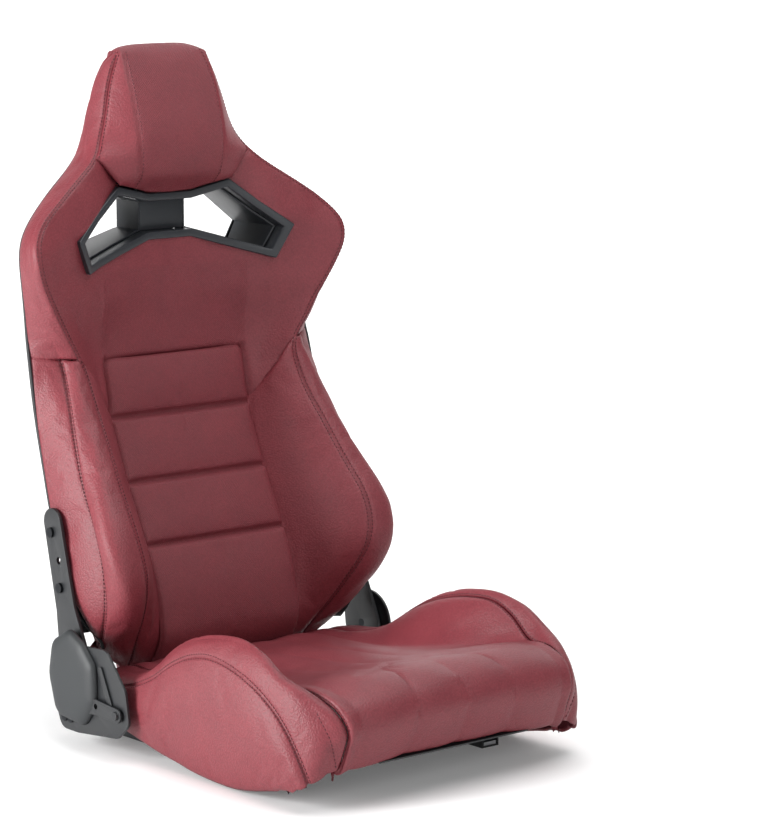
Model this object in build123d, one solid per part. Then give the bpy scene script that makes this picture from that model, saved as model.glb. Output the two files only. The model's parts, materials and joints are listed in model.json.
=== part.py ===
from build123d import *
import math
import os

os.makedirs("parts", exist_ok=True)

# Reclining sport seat with harness windows, millimetres.
# +Z is up and the occupant faces -Y. The origin is the centre of the four rail holes, on the
# rails' underside. The outboard side, which carries the recliner and its lever, is -X.
# Every paired piece is drawn on the +X side and mirrored for the outboard one.

# ---- driving sizes: whole seat ----
half_width = 250.0  # centre plane to the cushion's and the backrest's flank
back_rise = 859.0  # hinge axis to the top of the headrest
hinge_y = 216.0
soft_gap = 1.5  # between two upholstered pieces
pad_depth = 30.0  # foam behind the seating surface

# ---- base frame ----
rail_x = 170.0  # centre plane to a rail's middle, which carries the bolts
rail_width = 30.0
rail_height = 25.0
hinge_z = rail_height + 72.0
rail_wall = 2.5
rail_front = -165.0
rail_back = 235.0
bolt_spacing_y = 300.0
bolt_tap_r = 3.4  # M8 tapping hole
nut_plate = (22.0, 28.0, 5.0)
cross_bar_y = 40.0
cross_bar_r = 10.0
tube_wall = 2.0
pan_sheet = 2.0
pan_reach = 3.0  # pan beyond the rail's outer face
pan_back = 198.0
pan_bend_y = -100.0
pan_lip = (-248.0, 27.0)  # the lip's front edge, and its rise above the pan
screw_r = 3.0
screw_clearance = 0.2
screw_head = (5.5, 3.0)
pan_screw_ys = (-80.0, 35.0, 150.0)
pan_screw_length = 9.0
beam_front = 201.0
beam_back = 235.0
beam_height = 30.0
beam_wall = 2.5

# ---- hinge stack, distances outwards from the flank ----
arm_gap = 3.0
arm_plate = 5.0
bracket_plate = 4.0
rib_thickness = 3.0
stack_gap = 0.3
ring_thickness = 6.0
disc_thickness = 2.4
pin_r = 6.0
running = 0.05  # radial clearance of every pin in its bore
hinge_r = 38.0  # outside of the toothed ring and its disc
bracket_rim = 10.0

# ---- locking mechanism ----
tooth_count = 36
tooth_root_r = 31.0
tooth_tip_r = 29.2
pawl_half = 8.0
pawl_inner_r = 13.5
pawl_travel = 3.0
pawl_pin_r = 2.0
pawl_pin_at = 20.0
release_angle = 24.0
cam_r = 26.0
cam_plate = 2.0
drive_pin_r = 2.5
drive_pin_at = 12.0
slide_clearance = 0.1
guide_width = 9.0  # of the disc's four pawl guides
guide_reach = (9.5, 21.0)  # their ends along Z, from the hinge axis
tooth_root_land = 0.22  # half width of a tooth gap at its root and of a tooth at its tip, in pitches
tooth_tip_land = 0.14

# ---- release lever and link ----
lever_y = 168.0
lever_z = hinge_z - 31.0
lever_plate = 3.0
link_plate = 2.0
crank_throw = 16.0
crank_start = 130.0  # direction of the throw at rest, from +Y towards +Z
lever_pin_r = 4.0
link_pin_r = 3.0
cover_plate = 2.5
cover_screw_at = ((hinge_y + 20.0, hinge_z + 36.5), (hinge_y - 8.0, hinge_z - 43.0))
cover_depth = 12.5
cover_rim = 4.5  # cover wall at its rim
lever_gap = (-40.0, 2.0, -22.0, 40.0)  # gap in that rim, about the lever's axis: y from and to, z from and to
lever_gap_clearance = 0.7
lever_reach = 72.0
lever_hole_at = (-24.0, 4.0)
lever_hole_r = 4.0
arm_hole_r = 5.0

# ---- backrest frame ----
side_tube_x_inset = 25.0
side_tube_r = 10.0
cross_tube_r = 8.0
arch_share = 0.61
arch_half = 165.0
arch_y = 385.0
arch_set_back = 9.0
arch_end_share = 0.60
tube_set_forward = 8.0  # side tube ahead of the back's outer edge
cross_share = 0.075
cross_set_back = 5.0
head_tube_top = 0.93
head_tube_lean = 14.0
head_tube_gap = 0.5
head_tube_x = 22.0
head_tube_r = 7.0
arm_bolt_r = 4.0
arm_bolt_shares = (0.137, 0.225)
spacer_r = 8.0
shell_wall = 3.0
wire_r = 1.5
wire_shares = (0.15, 0.21, 0.27, 0.34, 0.41, 0.47)

# ---- upholstery widths ----
insert_half = 126.0
insert_top = 0.482
cushion_half = 130.0
head_half = 73.0
head_bottom = 0.773

# ---- harness bezel: half outline as (x, share of the rise) ----
bezel_kink_x = 37.0
bezel_outline = (
    (bezel_kink_x, 0.752),
    (98.0, 0.769),
    (190.0, 0.688),
    (165.0, 0.631),
    (bezel_kink_x, 0.675),
)
bezel_front = ((0.0, 338.0), (37.0, 338.0), (98.0, 326.0), (140.0, 314.0), (190.0, 290.0))
bezel_border = 11.0
bezel_depth = 22.0
liner_wall = 2.5
bridge_half = 38.0
bridge_plate = 3.0

# ---- backrest surface: each row is (share of the rise, ...) ----
# Middle of the front: y
front_line = (
    (0.022, 212.0),
    (0.08, 203.0),
    (0.188, 236.0),
    (0.286, 280.0),
    (0.389, 317.0),
    (insert_top, 333.0),
    (0.587, 335.0),
    (0.675, 343.0),
    (0.752, 345.0),
    (head_bottom, 313.0),
    (0.82, 301.0),
    (0.898, 311.0),
    (0.959, 332.0),
    (1.0, 352.0),
)
# Middle of the back: y
rear_line = (
    (0.022, 290.0),
    (0.175, 318.0),
    (0.304, 372.0),
    (0.389, 404.0),
    (0.484, 422.0),
    (0.587, 426.0),
    (0.7, 420.0),
    (0.82, 412.0),
    (0.898, 405.0),
    (0.967, 392.0),
    (1.0, 372.0),
)
# Crest of the side bolster, then the edge of the shoulder and of the head: inset from the flank, y
crest_line = (
    (0.022, 92.0, 222.0),
    (0.092, 72.0, 168.0),
    (0.175, 52.0, 130.0),
    (0.243, 47.0, 147.0),
    (0.304, 53.0, 188.0),
    (0.366, 60.0, 227.0),
    (0.428, 66.0, 267.0),
    (0.497, 60.0, 290.0),
    (0.534, 41.0, 288.0),
    (0.587, 12.0, 281.0),
    (0.631, -8.0, 276.0),
    (0.661, -18.0, 271.0),
    (0.688, -16.0, 277.0),
    (0.723, 3.0, 290.0),
    (0.769, 58.0, 308.0),
    (0.82, 116.0, 329.0),
    (0.868, 138.0, 343.0),
    (0.923, 152.0, 349.0),
    (0.967, 166.0, 355.0),
    (0.99, 171.0, 358.0),
)
# Seam along the outside of the bolster, and the fullest line of the shoulder: inset, y
flank_line = (
    (0.022, 18.0, 212.0),
    (0.092, 15.0, 180.0),
    (0.175, 15.0, 179.0),
    (0.243, 14.0, 200.0),
    (0.304, 14.0, 225.0),
    (0.366, 15.0, 244.0),
    (0.428, 21.0, 268.0),
    (0.497, 30.0, 302.0),
    (0.534, 24.0, 305.0),
    (0.587, 4.0, 300.0),
    (0.631, -12.0, 295.0),
    (0.661, -21.0, 290.0),
    (0.688, -19.0, 292.0),
    (0.723, 2.0, 302.0),
    (0.769, 56.0, 322.0),
    (0.82, 115.0, 350.0),
    (0.868, 141.0, 370.0),
    (0.923, 158.0, 374.0),
    (0.967, 168.0, 370.0),
    (0.99, 170.0, 366.0),
)
# Outer edge of the back: inset, y
corner_line = (
    (0.022, 0.0, 250.0),
    (0.092, 0.0, 252.0),
    (0.175, 2.0, 268.0),
    (0.243, 0.0, 285.0),
    (0.304, -1.0, 300.0),
    (0.366, -1.0, 313.0),
    (0.428, 0.0, 327.0),
    (0.497, 3.0, 342.0),
    (0.534, 4.0, 347.0),
    (0.587, -1.0, 341.0),
    (0.631, -10.0, 334.0),
    (0.661, -18.0, 325.0),
    (0.688, -14.0, 326.0),
    (0.723, 14.0, 337.0),
    (0.769, 57.0, 355.0),
    (0.82, 122.0, 386.0),
    (0.868, 148.0, 398.0),
    (0.923, 162.0, 396.0),
    (0.967, 170.0, 385.0),
    (0.99, 172.0, 376.0),
)
return_depth = 36.0  # how far the back panel wraps forward round the flank
head_return = 12.0  # and round the side of the head
return_gap = 3.0  # foam to the panel's forward edge
panel_turn = 76.0  # width of the panel's corner, flank to flat back
head_turn = 9.0
head_clearance = 4.0  # foam of the head to the panel

# ---- cushion surface ----
# Middle of the cushion, back to front: y, z above the rails
cushion_line = (
    (199.0, 74.0),
    (60.0, 87.0),
    (-60.0, 97.0),
    (-160.0, 120.0),
    (-250.0, 139.0),
)
# The rolled front edge below it
nose_line = (
    (-285.0, 132.0),
    (-306.0, 115.0),
    (-313.0, 96.0),
    (-306.0, 70.0),
    (-286.0, 41.0),
)
nose_back = -250.0
cushion_floor = rail_height + 9.0
# Side bolster, back to front: y; seam on the flank, crest and underside above the rails; flank turned in by
bolster_line = (
    (194.0, 63.0, 69.0, -3.0, 0.0),
    (116.0, 76.0, 83.0, -9.0, 0.0),
    (60.0, 92.0, 107.0, -16.0, 0.0),
    (20.0, 117.0, 133.0, -20.0, 0.0),
    (-30.0, 143.0, 159.0, -22.0, 0.0),
    (-75.0, 150.0, 169.0, -23.0, 0.0),
    (-120.0, 144.0, 170.0, -23.0, 0.0),
    (-160.0, 130.0, 164.0, -19.0, 0.0),
    (-200.0, 111.0, 151.0, -12.0, 2.0),
    (-240.0, 73.0, 135.0, -1.0, 8.0),
    (-275.0, 51.0, 123.0, 19.0, 28.0),
    (-300.0, 61.0, 113.0, 39.0, 62.0),
)
crest_inset = 24.0
foot_inset = 92.0  # where the bolster rises from the seating surface
bolster_rise = 8.0  # bolster over the seating surface at its foot


# ---- helpers ----
def look_up(line, at, column=1):
    """Value of one column of a surface line at a share of the rise."""
    for low, high in zip(line, line[1:]):
        if at <= high[0]:
            part = (at - low[0]) / (high[0] - low[0])
            return low[column] + part * (high[column] - low[column])
    return line[-1][column]


def level(at):
    return hinge_z + at * back_rise


def edge(line, at):
    """Point (x, y) of a side line at a share of the rise."""
    return half_width - look_up(line, at), look_up(line, at, 2)


def outline(points):
    return make_face(Polyline(*points, close=True))


def from_side(sketch, x0, x1):
    return Pos(x0, 0, 0) * extrude(Plane.YZ * sketch, amount=x1 - x0, dir=(1, 0, 0))


def from_front(sketch, y0, y1):
    plane = Plane(origin=(0, y0, 0), x_dir=(1, 0, 0), z_dir=(0, -1, 0))
    return extrude(plane * sketch, amount=y1 - y0, dir=(0, 1, 0))


def from_top(sketch, z0, z1):
    return Pos(0, 0, z0) * extrude(sketch, amount=z1 - z0, dir=(0, 0, 1))


def block(x0, x1, y0, y1, z0, z1):
    centre = Pos((x0 + x1) / 2, (y0 + y1) / 2, (z0 + z1) / 2)
    return centre * Box(x1 - x0, y1 - y0, z1 - z0)


def rod(x0, x1, y, z, r):
    """Round bar along X."""
    return from_side(Pos(y, z) * Circle(r), x0, x1)


def stud(x, y, z0, z1, r):
    """Round bar along Z."""
    return from_top(Pos(x, y) * Circle(r), z0, z1)


def tube(points, r, wall, bend):
    """Bent tube along straight runs joined by arcs, and the solid bar of its outside."""
    if len(points) > 2:
        path = FilletPolyline(*points, radius=bend)
    else:
        path = Line(*points)
    start = Plane(origin=path @ 0, z_dir=path % 0)
    bar = sweep(start * Circle(r), path=path)
    if wall is None:
        return bar, bar
    return bar - sweep(start * Circle(r - wall), path=path), bar


def skin(sections):
    """Closed solid through flat sections, with straight sides between them."""
    return loft([outline(points) for points in sections], ruled=True)


def hull_plate(circles, x0, x1):
    """Plate whose outline runs round neighbouring circles given as (y, z, r)."""
    plate = None
    for first, second in zip(circles, circles[1:]):
        edges = [edge_ for y, z, r in (first, second) for edge_ in (Pos(y, z) * Circle(r)).edges()]
        piece = from_side(make_hull(edges), x0, x1)
        plate = piece if plate is None else plate + piece
    return plate


def other_side(shape):
    return mirror(shape, about=Plane.YZ)


def save(name, *shapes):
    """Write one node; several shapes stay separate solids of it."""
    solids = [solid for shape in shapes for solid in shape.solids()]
    whole = solids[0] if len(solids) == 1 else Compound(children=solids)
    whole.label = name
    export_step(whole, f"parts/{name}.step")


def save_pair(name, shape):
    save(f"{name}_inboard", shape)
    save(f"{name}_outboard", other_side(shape))


# ---- base frame ----
rail_inner = rail_x - rail_width / 2
rail_outer = rail_x + rail_width / 2
bolt_ys = (-bolt_spacing_y / 2, bolt_spacing_y / 2)

rail = block(rail_inner, rail_outer, rail_front, rail_back, 0, rail_height)
rail -= block(
    rail_inner + rail_wall,
    rail_outer - rail_wall,
    rail_front - 1,
    rail_back + 1,
    rail_wall,
    rail_height - rail_wall,
)
for y in bolt_ys:
    rail -= stud(rail_x, y, -1, rail_wall + 1, bolt_tap_r)
for y in pan_screw_ys:
    rail -= stud(rail_x, y, rail_height - rail_wall - 1, rail_height + 1, screw_r)
save_pair("base_rail", rail)

plates = []
for side in (-1, 1):
    for y in bolt_ys:
        wide, long, thick = nut_plate
        centre = Pos(side * rail_x, y, rail_wall + thick / 2)
        plates.append(centre * (Box(wide, long, thick) - Cylinder(bolt_tap_r, thick)))
save("rail_nut_plates", *plates)

cross_bar = rod(-rail_inner, rail_inner, cross_bar_y, rail_height / 2, cross_bar_r)
cross_bar -= rod(-rail_inner, rail_inner, cross_bar_y, rail_height / 2, cross_bar_r - tube_wall)
save("base_cross_tube", cross_bar)

pan_half = rail_outer + pan_reach
pan_top = rail_height + pan_sheet
pan = from_side(
    outline(
        (
            (pan_back, rail_height),
            (pan_back, pan_top),
            (pan_bend_y, pan_top),
            (pan_lip[0], pan_top + pan_lip[1]),
            (pan_lip[0], rail_height + pan_lip[1]),
            (pan_bend_y, rail_height),
        )
    ),
    -pan_half,
    pan_half,
)
screws = []
for side in (-1, 1):
    for y in pan_screw_ys:
        x = side * rail_x
        pan -= stud(x, y, rail_height - 1, pan_top + 1, screw_r + screw_clearance)
        shank = stud(x, y, pan_top - pan_screw_length, pan_top, screw_r)
        screws.append(shank + stud(x, y, pan_top, pan_top + screw_head[1], screw_head[0]))
save("seat_pan", pan)
save("pan_screws", *screws)

# The rear beam lies on the rails and reaches out to both hinge brackets.
arm_in = half_width + arm_gap
arm_out = arm_in + arm_plate
ring_out = arm_out + ring_thickness
disc_in = ring_out + stack_gap
bracket_in = disc_in + disc_thickness
bracket_out = bracket_in + bracket_plate
beam_top = rail_height + beam_height
beam_hole = (
    beam_front + beam_wall,
    beam_back - beam_wall,
    rail_height + beam_wall,
    beam_top - beam_wall,
)
beam = block(-bracket_in, bracket_in, beam_front, beam_back, rail_height, beam_top)
beam -= block(-bracket_in - 1, bracket_in + 1, *beam_hole)
save("base_beam_rear", beam)

end_block_length = 20.0
bracket_bolt_r = 4.0
beam_mid_z = (rail_height + beam_top) / 2
bracket_bolt_ys = (beam_front + 10.0, beam_back - 10.0)
end_block = block(bracket_in - end_block_length, bracket_in, *beam_hole)
for y in bracket_bolt_ys:
    end_block -= rod(bracket_in - end_block_length - 1, bracket_in + 1, y, beam_mid_z, bracket_bolt_r)
save("beam_end_blocks", end_block, other_side(end_block))

# ---- hinge brackets, fixed to the beam ----
bracket = hull_plate(
    (
        (hinge_y, hinge_z, hinge_r + bracket_rim),
        (beam_back - 12.0, beam_mid_z, 18.0),
        (hinge_y - 20.0, beam_mid_z, 18.0),
        (hinge_y, hinge_z, hinge_r + bracket_rim),
    ),
    bracket_in,
    bracket_out,
)
bracket_bolts = []
for y in bracket_bolt_ys:
    bracket -= rod(bracket_in - 1, bracket_out + 1, y, beam_mid_z, bracket_bolt_r + screw_clearance)
    bolt = rod(bracket_in - end_block_length, bracket_out, y, beam_mid_z, bracket_bolt_r)
    bracket_bolts.append(bolt + rod(bracket_out, bracket_out + 3.0, y, beam_mid_z, 6.5))
inner_bracket = bracket - rod(bracket_in - 1, bracket_out + 1, hinge_y, hinge_z, pin_r)
save("hinge_bracket_inboard", inner_bracket)

# The outboard bracket reaches forward beside the cushion and carries the lever.
foot = hull_plate(
    (
        (hinge_y, hinge_z, hinge_r + bracket_rim),
        (hinge_y - 81.0, hinge_z + 35.0, 18.0),
        (hinge_y - 118.0, hinge_z - 4.0, 16.0),
        (hinge_y - 124.0, hinge_z - 36.0, 16.0),
        (hinge_y - 108.0, hinge_z - 50.0, 16.0),
        (hinge_y - 20.0, beam_mid_z, 18.0),
    ),
    bracket_in,
    bracket_out,
)
web = from_side(
    outline(
        (
            (hinge_y, hinge_z + 20),
            (hinge_y - 81.0, hinge_z + 35.0),
            (hinge_y - 118.0, hinge_z - 4.0),
            (hinge_y - 124.0, hinge_z - 36.0),
            (hinge_y - 108.0, hinge_z - 50.0),
            (hinge_y - 20.0, beam_mid_z),
        )
    ),
    bracket_in,
    bracket_out,
)
slot_y = hinge_y - 53.0
slot_z = hinge_z + 14.0
slot = from_side(Pos(slot_y, slot_z) * SlotOverall(34.0, 9.0, rotation=80), bracket_in - 1, bracket_out + 1)
outer_bracket = bracket + foot + web - slot
for y in bracket_bolt_ys:
    outer_bracket -= rod(bracket_in - 1, bracket_out + 1, y, beam_mid_z, bracket_bolt_r + screw_clearance)


def polar(r, angle):
    """Point (y, z) about the hinge axis, with the angle from +Y towards +Z."""
    turn = math.radians(angle)
    return hinge_y + r * math.cos(turn), hinge_z + r * math.sin(turn)


def arc_slot(r, start, stop, half, x0, x1, r_stop=None):
    """Curved slot about the hinge axis whose radius may change along it."""
    r_stop = r if r_stop is None else r_stop
    steps = 8
    places = []
    for i in range(steps + 1):
        part = i / steps
        places.append((r + part * (r_stop - r), start + part * (stop - start)))
    rim = [polar(at + half, angle) for at, angle in places]
    rim += [polar(at - half, angle) for at, angle in reversed(places)]
    ends = [rod(x0, x1, *polar(at, angle), half) for at, angle in (places[0], places[-1])]
    return from_side(outline(rim), x0, x1) + ends[0] + ends[1]


def drive_slots(x0, x1):
    half = drive_pin_r + slide_clearance
    return [arc_slot(drive_pin_at, start, start - release_angle, half, x0, x1) for start in (0, 180)]


outer_bracket -= rod(bracket_in - 1, bracket_out + 1, hinge_y, hinge_z, pin_r)
outer_bracket -= rod(bracket_in - 1, bracket_out + 1, lever_y, lever_z, lever_pin_r)
for y, z in cover_screw_at:
    outer_bracket -= rod(bracket_in - 1, bracket_out + 1, y, z, screw_r)
for cut in drive_slots(bracket_in - 1, bracket_out + 1):
    outer_bracket -= cut
save("hinge_bracket_outboard", other_side(outer_bracket))
save("bracket_bolts", *bracket_bolts, *[other_side(bolt) for bolt in bracket_bolts])

# A raised rib stiffens the bracket in front of its slot.
rib_top = (hinge_y - 78.0, hinge_z + 24.0)
rib_foot = (hinge_y - 100.0, hinge_z - 20.0)
rib = hull_plate((rib_top + (5.0,), rib_foot + (5.0,)), bracket_out, bracket_out + rib_thickness)
save("bracket_rib", other_side(rib))

# ---- toothed disc, pawls and cam ----
disc = rod(disc_in, bracket_in, hinge_y, hinge_z, hinge_r)
pawl_in = arm_out + stack_gap + cam_plate + stack_gap
guide_y0 = pawl_half + slide_clearance
for side_y in (-1, 1):
    for side_z in (-1, 1):
        ys = sorted((hinge_y + side_y * guide_y0, hinge_y + side_y * (guide_y0 + guide_width)))
        zs = sorted(hinge_z + side_z * reach for reach in guide_reach)
        disc += block(pawl_in, disc_in, *ys, *zs)
disc -= rod(pawl_in - 1, bracket_in + 1, hinge_y, hinge_z, pin_r)
for cut in drive_slots(disc_in - 1, bracket_in + 1):
    disc -= cut
save("recliner_disc", other_side(disc))

teeth = []
for i in range(tooth_count):
    pitch = 360 / tooth_count
    for r, middle, half in ((tooth_root_r, i, tooth_root_land), (tooth_tip_r, i + 0.5, tooth_tip_land)):
        teeth += [polar(r, (middle - half) * pitch), polar(r, (middle + half) * pitch)]
ring = rod(arm_out, ring_out, hinge_y, hinge_z, hinge_r)
ring -= from_side(outline(teeth), arm_out - 1, ring_out + 1)
save("recliner_ring", other_side(ring))

# Each pawl slides along Z and carries the pin that rides in the cam's spiral slot.
tip_clearance = 0.3
pawl_x0 = pawl_in + slide_clearance
pawl_x1 = disc_in - slide_clearance
pawl_tip = tooth_tip_r - tip_clearance
for name, up in (("pawl_upper", 1), ("pawl_lower", -1)):
    pawl = rod(pawl_x0, pawl_x1, hinge_y, hinge_z, pawl_tip)
    zs = sorted((hinge_z + up * pawl_inner_r, hinge_z + up * (pawl_tip + 1)))
    pawl &= block(pawl_x0, pawl_x1, hinge_y - pawl_half, hinge_y + pawl_half, *zs)
    for i in (-1, 0, 1):
        notch = polar(pawl_tip, up * 90 + i * 360 / tooth_count)
        pawl -= rod(pawl_x0 - 1, pawl_x1 + 1, *notch, 1.0)
    pin = rod(arm_out + stack_gap + 0.2, pawl_x0, *polar(pawl_pin_at, up * 90), pawl_pin_r)
    save(name, other_side(pawl + pin))

cam_x0 = arm_out + stack_gap
cam_x1 = cam_x0 + cam_plate
cam = rod(cam_x0, cam_x1, hinge_y, hinge_z, cam_r)
cam -= rod(cam_x0 - 1, cam_x1 + 1, hinge_y, hinge_z, pin_r + running)
# The slot leans as it nears the axis, so it is cut wider for the pin to keep its clearance.
slot_lean = math.atan(pawl_travel / (pawl_pin_at * math.radians(release_angle)))
for start in (90, 270):
    stop = start + release_angle
    half = (pawl_pin_r + slide_clearance) / math.cos(slot_lean)
    slot_end = pawl_pin_at - pawl_travel
    cam -= arc_slot(pawl_pin_at, start, stop, half, cam_x0 - 1, cam_x1 + 1, slot_end)
crank_x0 = bracket_out + rib_thickness + stack_gap
crank_x1 = crank_x0 + lever_plate
for angle in (0, 180):
    cam += rod(cam_x1, crank_x0, *polar(drive_pin_at, angle), drive_pin_r)
save("recliner_cam", other_side(cam))

# ---- crank, link and lever: equal throws, so the link stays parallel to itself ----
link_x0 = crank_x1 + stack_gap
link_x1 = link_x0 + link_plate
crank_pin = polar(crank_throw, crank_start)
lever_pin = (lever_y + crank_pin[0] - hinge_y, lever_z + crank_pin[1] - hinge_z)
crank = hull_plate(((hinge_y, hinge_z, 16.0), crank_pin + (6.0,)), crank_x0, crank_x1)
crank -= rod(crank_x0 - 1, crank_x1 + 1, hinge_y, hinge_z, pin_r + running)
crank += rod(crank_x1, link_x1 + 0.5, *crank_pin, link_pin_r)
save("release_crank", other_side(crank))

link = hull_plate((crank_pin + (6.0,), lever_pin + (6.0,)), link_x0, link_x1)
for y, z in (crank_pin, lever_pin):
    link -= rod(link_x0 - 1, link_x1 + 1, y, z, link_pin_r + running)
save("release_link", other_side(link))

lever_tip_y = lever_y - lever_reach
lever = hull_plate(
    ((lever_y, lever_z, 10.0), (lever_y - 24.0, lever_z + 3.0, 11.0), (lever_tip_y, lever_z, 10.0)),
    crank_x0,
    crank_x1,
)
lever += hull_plate(((lever_y, lever_z, 10.0), lever_pin + (6.0,)), crank_x0, crank_x1)
lever -= rod(crank_x0 - 1, crank_x1 + 1, lever_y, lever_z, lever_pin_r + running)
lever_hole = (lever_y + lever_hole_at[0], lever_z + lever_hole_at[1])
lever -= rod(crank_x0 - 1, crank_x1 + 1, *lever_hole, lever_hole_r)
lever += rod(crank_x1, link_x1 + 0.5, *lever_pin, link_pin_r)
lever += rod(crank_x1, crank_x1 + 4.0, lever_tip_y, lever_z, 6.0)
save("release_lever", other_side(lever))

lever_bolt = rod(bracket_in + 0.5, crank_x1 + 0.5, lever_y, lever_z, lever_pin_r)
lever_bolt += rod(crank_x1 + 0.5, crank_x1 + 3.0, lever_y, lever_z, 6.5)
save("lever_bolt", other_side(lever_bolt))

# ---- hinge pins ----
pin_head = (10.0, 3.0)
outer_pin = rod(arm_in, crank_x1 + 0.5, hinge_y, hinge_z, pin_r)
outer_pin += rod(crank_x1 + 0.5, crank_x1 + 2.0, hinge_y, hinge_z, pin_r + 1.0)
save("hinge_pin_outboard", other_side(outer_pin))
inner_pin = rod(arm_in, bracket_out, hinge_y, hinge_z, pin_r)
inner_pin += rod(bracket_out, bracket_out + pin_head[1], hinge_y, hinge_z, pin_head[0])
save("hinge_pin_inboard", inner_pin)

# ---- recliner cover: a cap over crank and link, open towards the bracket ----
cover_x0 = bracket_out + 0.5
cover_x1 = cover_x0 + cover_depth
cover_centre = (hinge_y - 10.0, hinge_z + 2.0)
cover_points = (
    (2.0, 69.0),
    (42.0, 46.0),
    (51.0, 0.0),
    (34.0, -58.0),
    (-32.0, -64.0),
    (-60.0, -28.0),
    (-58.0, 26.0),
    (-30.0, 54.0),
)
cover_sketch = outline([(cover_centre[0] + y, cover_centre[1] + z) for y, z in cover_points])
cover_sketch = fillet(cover_sketch.vertices(), 20.0)
cover_block = from_side(cover_sketch, cover_x0, cover_x1)
rim_edges = cover_block.faces().sort_by(Axis.X)[-1].edges()
cover_block = chamfer(rim_edges, 3.0)
cover_hollow = from_side(offset(cover_sketch, -cover_rim), cover_x0 - 1, cover_x1 - cover_plate)
cover = cover_block - cover_hollow
# The lever leaves through a gap in the rim, long enough for its travel.
gap_y0, gap_y1, gap_z0, gap_z1 = lever_gap
gap_y = (lever_y + gap_y0, lever_y + gap_y1)
gap_z = (lever_z + gap_z0, lever_z + gap_z1)
cover -= block(cover_x0 - 1, link_x1 + lever_gap_clearance, *gap_y, *gap_z)
for y in bracket_bolt_ys:
    cover -= rod(cover_x0 - 1, bracket_out + 4.0, y, beam_mid_z, 8.0)
cover_screws = []
for y, z in cover_screw_at:
    cover += rod(bracket_out, cover_x1 - cover_plate, y, z, 6.0)
    cover -= rod(bracket_out - 1, cover_x1 + 1, y, z, screw_r + screw_clearance)
    shank = rod(bracket_in, cover_x1, y, z, screw_r)
    cover_screws.append(shank + rod(cover_x1, cover_x1 + 1.5, y, z, 5.0))
save("recliner_cover", other_side(cover))
save("cover_screws", *[other_side(screw) for screw in cover_screws])

# ---- backrest side tubes, arch, cross tube and headrest tubes ----
side_tube_x = half_width - side_tube_x_inset


def tube_y(at):
    """The side tube keeps just ahead of the back's outer edge."""
    return look_up(corner_line, at, 2) - tube_set_forward


arch_z = level(arch_share)
side_tube_shares = (0.06, 0.175, 0.304, 0.52)
side_points = [(side_tube_x, tube_y(at), level(at)) for at in side_tube_shares]
arch_end = (side_tube_x, tube_y(arch_end_share) + arch_set_back, arch_z)
side_points.append(arch_end)
side_tube, side_bar = tube(side_points, side_tube_r, tube_wall, 120.0)
arch_bend = (arch_half, arch_y, arch_z)
arch_points = [(-arch_end[0], arch_end[1], arch_z), (-arch_half, arch_y, arch_z), arch_bend, arch_end]
arch, arch_bar = tube(arch_points, side_tube_r, tube_wall, 40.0)
side_tube -= arch_bar

spacers = []
arm_bolts = []
for at in arm_bolt_shares:
    y = tube_y(at)
    z = level(at)
    spacer = rod(side_tube_x, arm_in, y, z, spacer_r) - side_bar
    spacer -= rod(side_tube_x - 1, arm_in + 1, y, z, arm_bolt_r + screw_clearance)
    spacers.append(spacer.solids().sort_by(Axis.X)[-1])
    side_tube -= rod(side_tube_x - side_tube_r - 1, arm_in, y, z, arm_bolt_r)
    bolt = rod(side_tube_x - side_tube_r, arm_out, y, z, arm_bolt_r)
    arm_bolts.append(bolt + rod(arm_out, arm_out + 3.5, y, z, 7.0))
save_pair("back_tube", side_tube)
save("back_arch", arch)
save("arm_spacers", *spacers, *[other_side(spacer) for spacer in spacers])
save("arm_bolts", *arm_bolts, *[other_side(bolt) for bolt in arm_bolts])

cross_at = (tube_y(cross_share) + cross_set_back, level(cross_share))
cross = rod(-side_tube_x, side_tube_x, *cross_at, cross_tube_r)
cross -= rod(-side_tube_x, side_tube_x, *cross_at, cross_tube_r - tube_wall)
cross = cross - side_bar - other_side(side_bar)
cross = cross.solids().sort_by(SortBy.VOLUME)[-1]
save("back_cross_lower", cross)

head_tubes = []
head_bars = []
for side in (-1, 1):
    foot_point = (side * head_tube_x, arch_y, arch_z)
    top_point = (side * head_tube_x, arch_y - head_tube_lean, level(head_tube_top))
    pipe, bar = tube((foot_point, top_point), head_tube_r, tube_wall, None)
    head_tubes.append((pipe - arch_bar).solids().sort_by(SortBy.VOLUME)[-1])
    head_bars.append(tube((foot_point, top_point), head_tube_r + head_tube_gap, None, None)[0])
save("headrest_tubes", *head_tubes)

# ---- spring wires across the backrest, hooked to the side tubes ----
wires = []
for at in wire_shares:
    middle_y = look_up(front_line, at) + pad_depth + 2 * wire_r + 1.0
    z = level(at)
    reach = insert_half + 24.0
    ends = (side_tube_x, tube_y(at))
    route = [(-ends[0], ends[1], z), (-reach, middle_y, z), (reach, middle_y, z), (ends[0], ends[1], z)]
    wire = tube(route, wire_r, None, 12.0)[0] - side_bar - other_side(side_bar)
    wires.append(wire.solids().sort_by(SortBy.VOLUME)[-1])
save("lumbar_wires", *wires)

# ---- hinge arms, bolted to the side tubes ----
arm_top = (tube_y(arm_bolt_shares[1]) - 2.0, level(arm_bolt_shares[1]) + 14.0)
arm_waist = (hinge_y + 25.0, hinge_z + 88.0)
arm = hull_plate(
    ((hinge_y, hinge_z, hinge_r), arm_waist + (22.0,), arm_top + (20.0,)),
    arm_in,
    arm_out,
)
arm_hole = ((arm_waist[0] + arm_top[0]) / 2, (arm_waist[1] + arm_top[1]) / 2 + 8.0)
arm -= rod(arm_in - 1, arm_out + 1, *arm_hole, arm_hole_r)
arm -= rod(arm_in - 1, arm_out + 1, hinge_y, hinge_z, pin_r + running)
for at in arm_bolt_shares:
    arm -= rod(arm_in - 1, arm_out + 1, tube_y(at), level(at), arm_bolt_r + screw_clearance)
save_pair("hinge_arm", arm)

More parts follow.
